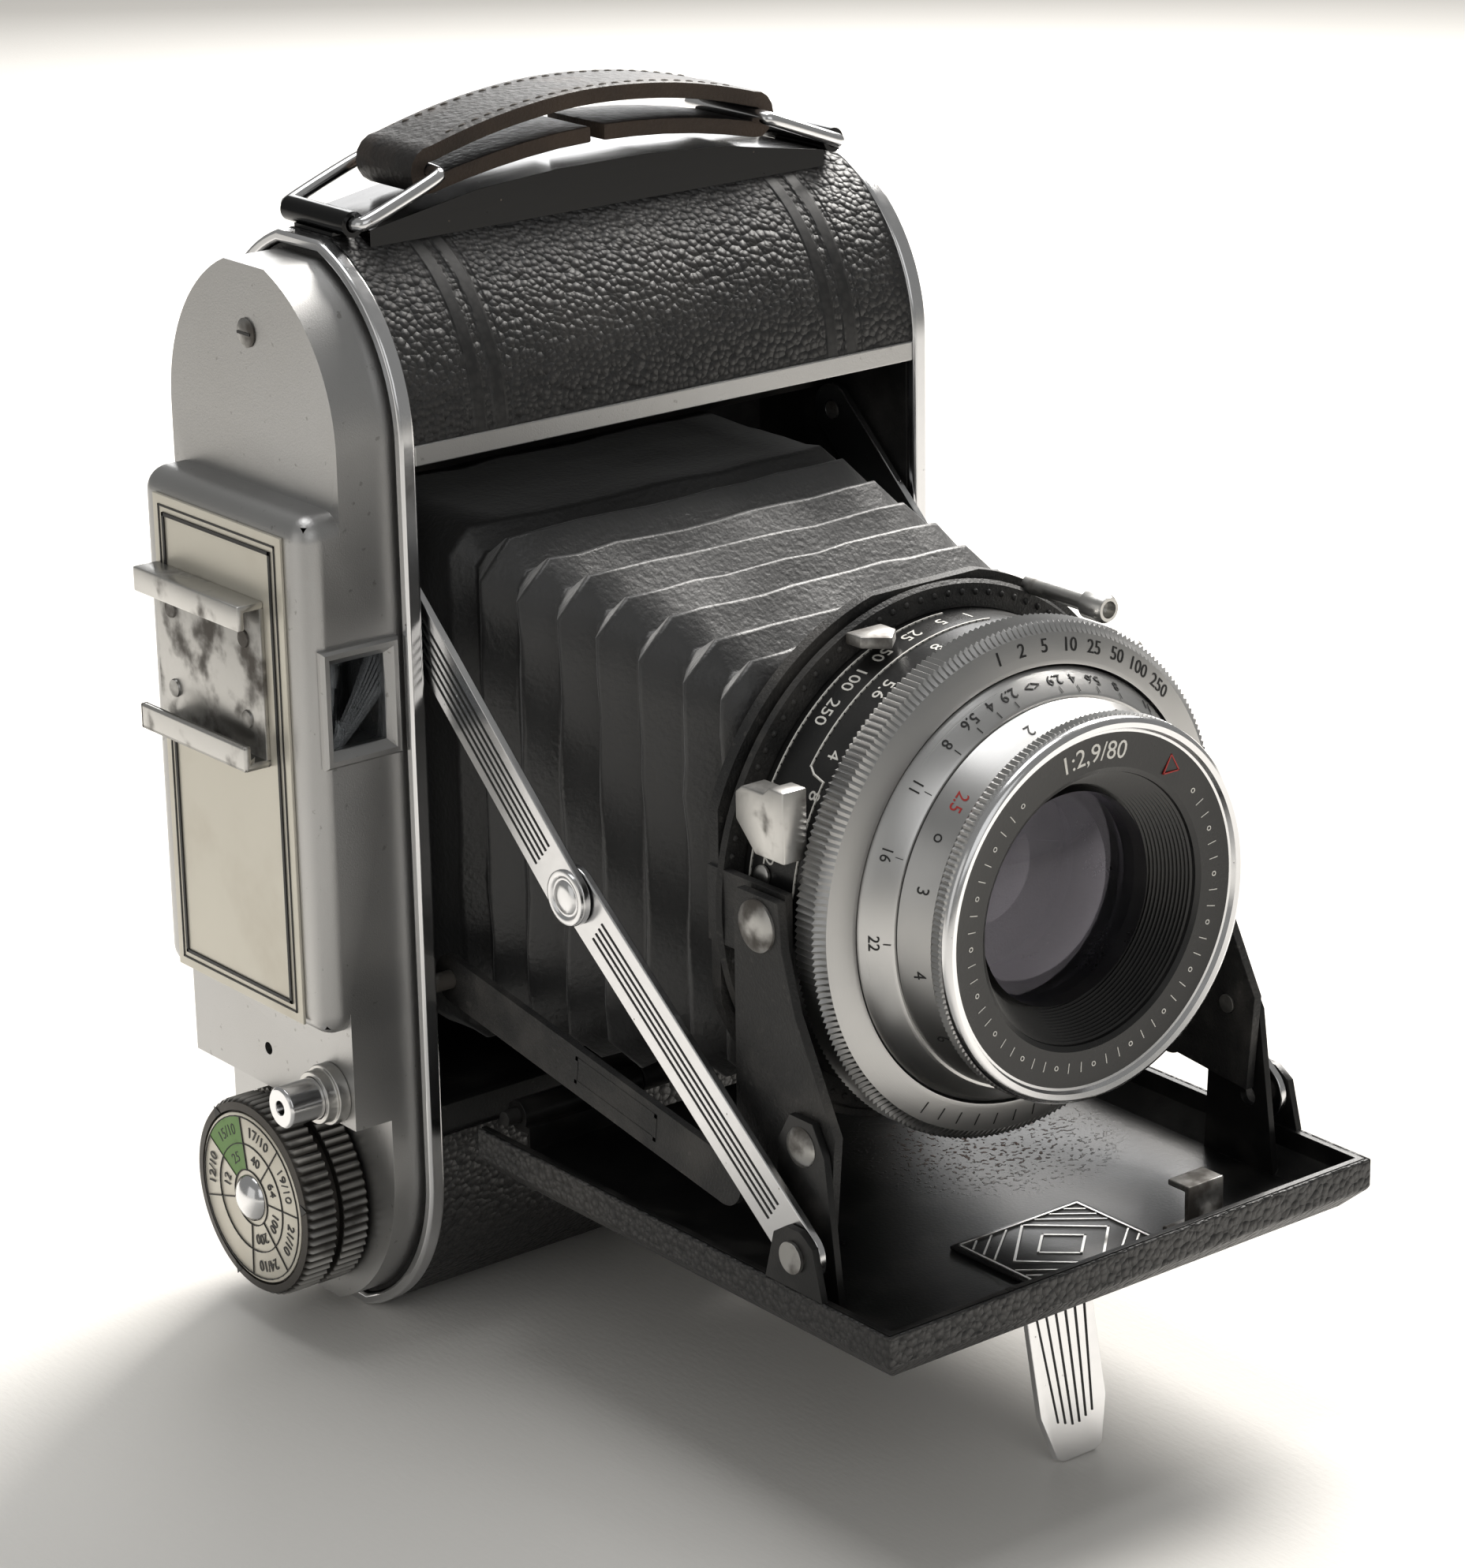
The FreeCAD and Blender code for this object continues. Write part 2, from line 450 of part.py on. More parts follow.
# ---------------------------------------------------------------- top housing
def top_housing():
    inset = "housing_inset"
    near = half + " + side_plate"
    walls = "cover_wall"

    def levels(tag, less):
        """The four stepped levels of the cover; less draws them in for the hollow."""
        drum = outline(tag + "drum", "-(lobe_reach - (%s))" % less, "-(%s)" % near,
                       "%s + (%s)" % (inset, less), "%s + (%s)" % (inset, less))
        lobe = common(tag + "lobe", drum,
                      slab(tag + "lobe_zone", ("-far_away", "0"), ("-far_away", "far_away"),
                                              ("box_low + 2", "body_height")))
        box = slab(tag + "box", ("-(box_reach - (%s))" % less, "-(%s)" % near),
                   ("-(%s) + %s + (%s)" % (front, inset, less), "%s - %s - (%s)" % (front, inset, less)),
                   ("box_low + (%s)" % less, "box_high - (%s)" % less))
        step = slab(tag + "step", ("-(step_reach - (%s))" % less, "-(%s)" % near),
                    ("-(%s) + %s + (%s)" % (front, inset, less), "%s - %s - (%s)" % (front, inset, less)),
                    ("step_low + (%s)" % less, "box_low + 3"))
        foot = outline(tag + "foot", "-(floor_reach - (%s))" % less, "-(%s)" % near,
                       "%s + (%s)" % (inset, less), "%s + (%s)" % (inset, less))
        low = common(tag + "low", foot, slab(tag + "low_zone", ("-far_away", "0"),
                                             ("-far_away", "far_away"),
                                            ("0", "box_low + 2")))
        return lobe, box, step, low

    lobe, box, step, low = levels("cover_", "0")
    doc.recompute()
    rounded = doc.addObject("Part::Fillet", "cover_box_round")
    rounded.Base = box
    far = -number("box_reach")
    picked = []
    for index, edge in enumerate(box.Shape.Edges, 1):
        spots = [v.X for v in edge.Vertexes]
        outer_edge = all(abs(x - far) < 0.01 for x in spots)
        across = abs(spots[0] - spots[1]) > 1
        if outer_edge or across:
            picked.append((index, number("box_round"), number("box_round")))
    rounded.Edges = picked
    solid = fuse("cover_solid", lobe, rounded, step, low)
    hollow = fuse("cover_hollow", *levels("hollow_", walls))
    button = rod("cover_button_hole", "X", ("-(step_reach) - 2", ahead("-button_y"), "button_height"),
                 "button_r + running", "4")
    shaft = rod("cover_shaft_hole", "X", ("-(floor_reach) - 2", "0", "spool_height"), "spindle_r + running",
                "4")
    peep = rod("cover_small_hole", "X", ("-(step_reach) - 2", "1", "35.7"), "0.8", "4")
    finder = slab("cover_finder_hole", ("-window_reach - window_wide / 2 + 1.2",
                                        "-window_reach + window_wide / 2 - 1.2"),
                  ("-far_away", "far_away"), ("window_height - window_tall / 2 + 1.2",
                                            "window_height + window_tall / 2 - 1.2"))
    piece("top_housing", cut("top_housing", solid, hollow, button, shaft, peep, finder))

    heads = []
    for tag, y, z in (("top", "0", "body_height - 10.6"),):
        head = rod("screw_head_" + tag, "X", ("-lobe_reach - 0.4", y, z), "1.2", "0.4")
        heads.append(cut("screw_" + tag, head,
                         slab("screw_slot_" + tag, ("-lobe_reach - 1", "-lobe_reach - 0.15"),
                                                    ("-1.5", "1.5"), (z + " - 0.2", z + " + 0.2"))))
    plate_face = "-(box_reach + plate_sheet)"
    piece("name_plate", slab("name_plate", (plate_face, "-box_reach"),
                             ("-plate_width / 2", "plate_width / 2"),
                             ("plate_low", "plate_high")))
    base_face = "-(box_reach + plate_sheet + 0.6)"
    base = slab("shoe_base", (base_face, plate_face), ("13.4 - shoe_length", "13.4"),
                ("shoe_height - shoe_width / 2", "shoe_height + shoe_width / 2"))
    rails = [base]
    lip_in = base_face + " - shoe_slot"
    for word, way in (("lower", -1), ("upper", 1)):
        edge = "shoe_height + %d * shoe_width / 2" % way
        lip = "shoe_height + %d * (shoe_width / 2 - 2.2)" % way
        outside = "shoe_height + %d * (shoe_width / 2 + shoe_sheet)" % way
        points = [(plate_face, edge), (lip_in, edge), (lip_in, lip), (lip_in + " - shoe_sheet", lip),
                  (lip_in + " - shoe_sheet", outside), (plate_face, outside)]
        rails.append(prism("shoe_rail_" + word, "XZ_Plane", points, "shoe_length", ("0", "13.4", "0")))
    piece("accessory_shoe", fuse("accessory_shoe", *rails))
    for i, (y, z) in enumerate((y, z) for y in ("-6", "10") for z in ("-5", "5")):
        heads.append(rod("shoe_rivet_%d" % i, "X", (base_face + " - 0.3", y, "shoe_height + (%s)" % z),
                         "1.0", "0.3"))
    piece("housing_fasteners", group("housing_fasteners", *heads))

    face = "-(%s) + %s" % (front, inset)
    frame_xs = ("-window_reach - window_wide / 2", "-window_reach + window_wide / 2")
    frame_zs = ("window_height - window_tall / 2", "window_height + window_tall / 2")
    outer = slab("finder_outer", frame_xs, (face + " - 0.9", face), frame_zs)
    hole_x = (frame_xs[0] + " + 1.9", frame_xs[1] + " - 1.9")
    hole_z = (frame_zs[0] + " + 2.4", frame_zs[1] + " - 2.4")
    piece("finder_frame", cut("finder_frame", outer,
                              slab("finder_cut", hole_x, (face + " - 2", face + " + 1"), hole_z)))
    rear = "%s - %s" % (front, inset)
    panes = []
    for tag, low_y in (("front", face + " + 0.1"), ("eye", rear + " - 0.9")):
        panes.append(slab("pane_" + tag, (frame_xs[0] + " + 1.25", frame_xs[1] + " - 1.25"),
                          (low_y, low_y + " + 0.8"), (frame_zs[0] + " + 1.25", frame_zs[1] + " - 1.25")))
    piece("finder_lenses", group("finder_lenses", *panes))

    spot = ("0", ahead("-button_y"), "button_height")
    seat = "-step_reach"
    piece("release_collar", turned("release_collar", "X",
                                   [(seat, "button_r + running"), (seat, "collar_r"),
                                    (seat + " - 1.6", "collar_r"),
                                    (seat + " - 1.6", "collar_r - 0.5"), (seat + " - 3", "collar_r - 0.5"),
                                    (seat + " - 3", "button_r + running")], spot))
    piece("release_button", turned("release_button", "X",
                                   [("-button_reach", "0.9"), ("-button_reach", "button_r - 0.3"),
                                    ("-button_reach + 0.3", "button_r"), ("-46", "button_r"), ("-46", "0"),
                                    ("-button_reach + 6", "0"), ("-button_reach + 6", "0.9")], spot))

    knob_in = "-floor_reach - gap"
    reach = "-knob_reach"
    middle = "-(knob_reach + floor_reach) / 2"
    profile = [(reach, "0"), (reach, "knob_r - 0.8"), (reach + " + 0.8", "knob_r"),
               (middle + " - 0.5", "knob_r"),
               (middle + " - 0.5", "knob_r - 0.8"), (middle + " + 0.5", "knob_r - 0.8"),
               (middle + " + 0.5", "knob_r"),
               (knob_in + " - 0.4", "knob_r"), (knob_in, "knob_r - 0.6"), (knob_in, "spindle_r"),
               ("-spool_length / 2 + 3", "spindle_r"), ("-spool_length / 2 + 3", "0")]
    piece("winding_knob", turned("winding_knob", "X", profile, ("0", "0", "spool_height")))
    disc = turned("speed_disc", "X", [(reach + " - 0.1", "cap_r + running"), (reach + " - 0.1", "disc_r"),
                                                            (reach + " - 0.6", "disc_r"),
                                                            (reach + " - 0.6", "cap_r + running")],
                                    ("0", "0", "spool_height"))
    cap = turned("knob_cap", "X", [(reach, "0"), (reach, "cap_r"), (reach + " - 1.0", "cap_r"),
                                              (reach + " - 1.8", "cap_r - 0.9"), (reach + " - 2.1", "0")],
                             ("0", "0", "spool_height"))
    piece("film_speed_disc", group("film_speed_disc", disc, cap))


# ---------------------------------------------------------------- strap
def wire(name, points, radius):
    """A bent wire: straight runs with round corners of the wire's own radius."""
    spots = [Vector(*(number(value) for value in point)) for point in points]
    r = number(radius)
    solid = None
    for a, b in zip(spots, spots[1:]):
        run = Part.makeCylinder(r, (b - a).Length, a, b - a)
        solid = run if solid is None else solid.fuse(run)
    for spot in spots[1:-1]:
        solid = solid.fuse(Part.makeSphere(r, spot))
    obj = doc.addObject("Part::Feature", name)
    obj.Shape = solid.removeSplitter()
    return obj


def strap():
    top = "body_height"
    arch = [("-bar_half", top + " - 2"), ("bar_half", top + " - 2"), ("bar_half", top + " + 0.8"),
            ("bar_half * 0.55", top + " + bar_rise - 0.8"), ("bar_half * 0.2", top + " + bar_rise"),
            ("-bar_half * 0.2", top + " + bar_rise"), ("-bar_half * 0.55", top + " + bar_rise - 0.8"),
            ("-bar_half", top + " + 0.8")]
    blank = prism("bar_blank", "XZ_Plane", arch, "bar_depth", ("0", "bar_depth / 2", "0"))
    drum = outline("bar_drum", "-bar_half - 1", "bar_half + 1", "leather_inset", "0")
    bar_solid = cut("strap_bar", blank, drum)
    lugs, loops = [], []
    level = top + " + lug_r + 0.15"
    for word, side in sides:
        x = "%d * lug_x" % side
        tube = rod("lug_tube_" + word, "Y", (x, "-6.5", level), "lug_r", "13")
        bore = rod("lug_bore_" + word, "Y", (x, "-7.5", level), "wire_r + running", "15")
        shelf = slab("lug_shelf_" + word, (x + " - 1.3", x + " + 1.3"), ("-4", "4"),
                     (top, level + " - 1.2"))
        lugs.append(cut("lug_" + word, fuse("lug_solid_" + word, tube, shelf), bore))
        inner_x = "%d * (lug_x - 12)" % side
        up = level + " + 4.6"
        loops.append(wire("loop_" + word,
                          [(x, "-6", level), (x, "-8", level), (inner_x, "-8", up), (inner_x, "8", up),
                                           (x, "8", level), (x, "6", level)], "wire_r"))
    piece("strap_mount", group("strap_mount", bar_solid, *lugs))
    piece("strap_loops", group("strap_loops", *loops))
    low = top + " + lug_r + 0.15 + 4.6 + wire_r + 0.3"
    under = [("-lug_x + 8.5", low), ("-14", low + " + 2.2"), ("14", low + " + 2.2"), ("lug_x - 8.5", low),
             ("lug_x - 8.5", low + " + strap_sheet"), ("14", low + " + strap_sheet + 2.4"),
             ("-14", low + " + strap_sheet + 2.4"), ("-lug_x + 8.5", low + " + strap_sheet")]
    piece("leather_strap", prism("leather_strap", "XZ_Plane", under, "strap_wide",
                                 ("0", "strap_wide / 2", "0")))


# ---------------------------------------------------------------- bed
def chamfered(name, block, bottom, rear):
    """Bevel a block's bottom edges at the front and the sides."""
    doc.recompute()
    obj = doc.addObject("Part::Chamfer", name)
    obj.Base = block
    low = number(bottom)
    edges = []
    for index, edge in enumerate(block.Shape.Edges, 1):
        if all(abs(v.Z - low) < 0.01 for v in edge.Vertexes) and edge.CenterOfMass.y < number(rear) - 1:
            edges.append((index, number("bed_chamfer"), number("bed_chamfer")))
    obj.Edges = edges
    return obj


def bed():
    rear, nose = ahead("bed_rear"), ahead("bed_front")
    shape = slab("bed_blank", ("-bed_half", "bed_half"), (nose, rear), ("bed_bottom", "bed_rim"))
    chamfer = chamfered("bed_blank_chamfer", shape, "bed_bottom", rear)
    skin = "bed_skin"
    core = slab("bed_core", ("-bed_half + " + skin, "bed_half - " + skin),
                (nose + " + " + skin, rear + " + 1"),
                ("bed_bottom + " + skin, "bed_rim + 1"))
    core_chamfer = chamfered("bed_core_chamfer", core, "bed_bottom + bed_skin", rear)
    slot = slab("foot_slot_skin", ("-foot_wide / 2 - 1.6", "foot_wide / 2 + 1.6"),
                (ahead("foot_ahead + 1.6"), ahead("foot_ahead - 1.6")),
                ("bed_bottom - 1", "bed_bottom + bed_skin"))
    piece("bed_leather", cut("bed_leather", chamfer, core_chamfer, slot))

    tray_solid = common("bed_tray_solid", core_chamfer,
                        slab("bed_tray_zone", ("-bed_half", "bed_half"), (nose, rear), ("0", "bed_rim")))
    wall = "(bed_skin + bed_wall)"
    pocket_box = slab("bed_pocket_box", ("-bed_half + " + wall, "bed_half - " + wall),
                      (nose + " + " + wall, rear + " + 1"), ("bed_floor", "bed_rim + 1"))
    pocket = chamfered("bed_pocket", pocket_box, "bed_floor", rear)
    tray = cut("bed_tray_dish", tray_solid, pocket)
    extras = []
    for word, side in sides:
        # ears for the struts on the side walls, and uprights for the lens brackets
        low, high = span(side, "bed_half - 1", "bed_half - 0.1")
        extras.append(prism("ear_" + word, "YZ_Plane",
                            [(ahead("ear_ahead + 5"), "bed_rim"), (ahead("ear_ahead - 5"), "bed_rim"),
                             (ahead("ear_ahead - 3.4"), "ear_height + 2"),
                             (ahead("ear_ahead - 1.2"), "ear_height + 3.4"),
                             (ahead("ear_ahead + 1.2"), "ear_height + 3.4"),
                             (ahead("ear_ahead + 3.4"), "ear_height + 2")],
                            "0.9", (low, "0", "0")))
        low, high = span(side, "33.1", "34.0")
        extras.append(prism("upright_" + word, "YZ_Plane",
                            [(ahead("p_ahead + 7"), "bed_floor - 0.4"),
                             (ahead("p_ahead - 5"), "bed_floor - 0.4"),
                             (ahead("p_ahead - 4"), "p_height"), (ahead("p_ahead - 2"), "p_height + 3.4"),
                             (ahead("p_ahead + 2"), "p_height + 3.4"), (ahead("p_ahead + 4"), "p_height")],
                            "0.9", (low, "0", "0")))
    knuckles = []
    for word, side in sides:
        low, high = span(side, "12", "30")
        knuckle = rod("bed_knuckle_" + word, "X", (low, ahead("hinge_ahead"), "hinge_height"), "knuckle_r",
                      "(%s) - (%s)" % (high, low))
        web = slab("bed_web_" + word, (low, high), (ahead("bed_rear + 0.5"), ahead("hinge_ahead")),
                   ("hinge_height - knuckle_r", "hinge_height - knuckle_r + 0.9"))
        drop = slab("bed_drop_" + word, (low, high), (ahead("bed_rear + 0.5"), ahead("bed_rear")),
                    ("bed_floor - 0.4", "hinge_height - knuckle_r + 0.9"))
        knuckles += [knuckle, web, drop]
    body = fuse("bed_tray_whole", tray, *extras, *knuckles)
    holes = [rod("bed_hinge_bore", "X", ("-31", ahead("hinge_ahead"), "hinge_height"), "hinge_r + running",
                 "62")]
    for word, side in sides:
        low, high = span(side, "30", "bed_half + 1")
        length = "(%s) - (%s)" % (high, low)
        holes.append(rod("ear_hole_" + word, "X", (low, ahead("ear_ahead"), "ear_height"), "1.2", length))
        holes.append(rod("upright_hole_" + word, "X", (low, ahead("p_ahead"), "p_height"), "1.2", length))
    piece("bed_tray", cut("bed_tray", body, *holes))

    piece("bed_badge", slab("bed_badge", ("-10", "10"), (ahead("78"), ahead("61.5")),
                            ("bed_floor", "bed_floor + 0.5")))
    hook = prism("bed_hook", "YZ_Plane",
                 [(ahead("bed_front - 4.6"), "bed_floor"), (ahead("bed_front - 9"), "bed_floor"),
                  (ahead("bed_front - 9"), "bed_floor + 0.7"),
                  (ahead("bed_front - 5.4"), "bed_floor + 0.7"),
                  (ahead("bed_front - 5.4"), "bed_rim + 1.2"), (ahead("bed_front - 8.2"), "bed_rim + 1.2"),
                  (ahead("bed_front - 8.2"), "bed_rim + 2"), (ahead("bed_front - 4.6"), "bed_rim + 2")],
                 "5.6", ("12", "0", "0"))
    piece("bed_hook", hook)
    pin = [rod("bed_pin", "X", ("-32", ahead("hinge_ahead"), "hinge_height"), "hinge_r", "64")]
    for word, side in sides:
        low, high = span(side, "6", "12 - gap")
        knuckle = rod("body_knuckle_" + word, "X", (low, ahead("hinge_ahead"), "hinge_height"), "knuckle_r",
                      "(%s) - (%s)" % (high, low))
        arm = slab("body_arm_" + word, (low, high),
                   (ahead("hinge_ahead"), "-(%s) + leather_inset + leather" % front),
                   ("hinge_height - knuckle_r", "hinge_height - knuckle_r + 1.2"))
        pin += [knuckle, arm]
    piece("bed_hinge", fuse("bed_hinge", *pin))

    rivets = []
    for word, side in sides:
        low, high = span(side, "bed_half - 2.3", "bed_half + 0.4")
        shank = rod("ear_shank_" + word, "X", (low, ahead("ear_ahead"), "ear_height"), "1.15",
                    "(%s) - (%s)" % (high, low))
        low, high = span(side, "bed_half - 0.1", "bed_half + 0.4")
        head = rod("ear_head_" + word, "X", (low, ahead("ear_ahead"), "ear_height"), "1.9",
                   "(%s) - (%s)" % (high, low))
        rivets.append(fuse("ear_rivet_" + word, shank, head))
        low, high = span(side, "bracket_x - 0.2", "bracket_x + 2.3")
        rivets.append(rod("upright_pin_" + word, "X", (low, ahead("p_ahead"), "p_height"), "1.15",
                          "(%s) - (%s)" % (high, low)))

    lean = math.degrees(math.atan(number("foot_lean") / number("foot_height")))
    # measured along the leaning sheet, so that its lower corner just meets the ground
    reach = "(sqrt(foot_height ^ 2 + foot_lean ^ 2) - foot_sheet / 2 * foot_lean / foot_height)"
    tongue = prism("foot_tongue", "XZ_Plane",
                   [("-foot_wide / 2", "0"), ("foot_wide / 2", "0"), ("foot_wide / 2", "6 - %s" % reach),
                    ("foot_tip / 2", "0.6 - %s" % reach), ("foot_tip / 2 - 1", "-" + reach),
                    ("-foot_tip / 2 + 1", "-" + reach), ("-foot_tip / 2", "0.6 - %s" % reach),
                    ("-foot_wide / 2", "6 - %s" % reach)], "foot_sheet", ("0", "foot_sheet / 2", "0"))
    barrel = rod("foot_barrel", "X", ("-foot_wide / 2", "0", "0"), "1.15", "foot_wide")
    bore = rod("foot_bore", "X", ("-foot_wide / 2 - 1", "0", "0"), "0.7 + running", "foot_wide + 2")
    foot = cut("kick_foot", fuse("foot_solid", tongue, barrel), bore)
    place(foot, "0", ahead("foot_ahead"), "foot_height", turn=Rotation(Vector(1, 0, 0), -lean))
    piece("kick_foot", foot)
    pin = rod("foot_pin_rod", "X", ("-foot_wide / 2 - 1.3", ahead("foot_ahead"), "foot_height"), "0.7",
              "foot_wide + 2.6")
    ears = []
    for word, side in sides:
        low, high = span(side, "foot_wide / 2 + 0.2", "foot_wide / 2 + 1.2")
        ears.append(slab("foot_ear_" + word, (low, high),
                         (ahead("foot_ahead + 1.4"), ahead("foot_ahead - 1.4")),
                         ("foot_height - 1.2", "bed_bottom + bed_skin")))
    piece("bed_rivets", group("bed_rivets", *rivets, fuse("foot_pin", pin, *ears)))


# ---------------------------------------------------------------- folding linkage
def linkage():
    plates, arms, lowers, uppers, caps = [], [], [], [], []
    for word, side in sides:
        # lens bracket: from the upright on the bed to the cheek of the standard
        low, high = span(side, "bracket_x", "bracket_x + bracket_sheet")
        points = [(ahead("q_ahead - 3.6"), "q_height + 3.6"), (ahead("q_ahead - 4.2"), "q_height"),
                  (ahead("q_ahead - 4.4"), "bed_floor + 12"), (ahead("q_ahead + 12"), "bed_floor + 10.4"),
                  (ahead("p_ahead + 4.6"), "p_height + 2"), (ahead("q_ahead + 6.4"), "q_height - 9"),
                  (ahead("q_ahead + 4.2"), "q_height - 2"), (ahead("q_ahead + 3.6"), "q_height + 3.6")]
        holes = [(ahead("p_ahead"), "p_height", "stud_hole_r"),
                 (ahead("q_ahead"), "q_height", "stud_hole_r")]
        plates.append(prism("bracket_" + word, "YZ_Plane", points, "bracket_sheet",
                            (low, "0", "0"), holes))
        low, high = span(side, "bracket_x - 0.9", "bracket_x + 1.9")
        shank = rod("bracket_shank_" + word, "X", (low, ahead("q_ahead"), "q_height"), "stud_r",
                    "(%s) - (%s)" % (high, low))
        low, high = span(side, "bracket_x + bracket_sheet", "bracket_x + bracket_sheet + 0.8")
        head = rod("bracket_head_" + word, "X", (low, ahead("q_ahead"), "q_height"), "rivet_r",
                   "(%s) - (%s)" % (high, low))
        caps.append(fuse("bracket_rivet_" + word, shank, head))
        # black link between the body and the bracket's foot
        low, high = span(side, "link_x", "link_x + strut_sheet")
        arms.append(bar("link_" + word, low, (ahead("link_ahead"), "link_height"),
                        (ahead("tip_ahead"), "tip_height"),
                        "6", "strut_sheet", [(ahead("link_ahead"), "link_height", "stud_hole_r")]))
        # the two halves of the strut
        low, high = span(side, "lower_x", "lower_x + strut_sheet")
        lowers.append(bar("lower_strut_" + word, low, (ahead("ear_ahead"), "ear_height"),
                          (ahead("mid_ahead"), "mid_height"), "strut_wide", "strut_sheet",
                          [(ahead("ear_ahead"), "ear_height", "stud_hole_r"),
                           (ahead("mid_ahead"), "mid_height", "stud_hole_r")]))
        low, high = span(side, "upper_x", "upper_x + strut_sheet")
        uppers.append(bar("upper_strut_" + word, low, (ahead("mid_ahead"), "mid_height"),
                          (ahead("top_ahead"), "top_height"), "strut_wide", "strut_sheet",
                          [(ahead("top_ahead"), "top_height", "stud_hole_r")]))
    piece("lens_brackets", group("lens_brackets", *plates))
    piece("bracket_rivets", group("bracket_rivets", *caps))
    piece("black_links", group("black_links", *arms))
    piece("lower_struts", group("lower_struts", *lowers))
    piece("upper_struts", group("upper_struts", *uppers))
    mids, studs = [], []
    for word, side in sides:
        low, high = span(side, "upper_x + strut_sheet", "upper_x + strut_sheet + cap_height")
        mids.append(rod("mid_rivet_" + word, "X", (low, ahead("mid_ahead"), "mid_height"), "2.6",
                        "cap_height"))
        low, high = span(side, "upper_x - 0.05", half)
        studs.append(rod("top_stud_" + word, "X", (low, ahead("top_ahead"), "top_height"), "stud_r",
                         "(%s) - (%s)" % (high, low)))
        low, high = span(side, "link_x - 0.05", half)
        studs.append(rod("link_stud_" + word, "X", (low, ahead("link_ahead"), "link_height"), "stud_r",
                         "(%s) - (%s)" % (high, low)))
    piece("strut_rivets", group("strut_rivets", *mids))
    piece("body_pins", group("body_pins", *body_pins, *studs))


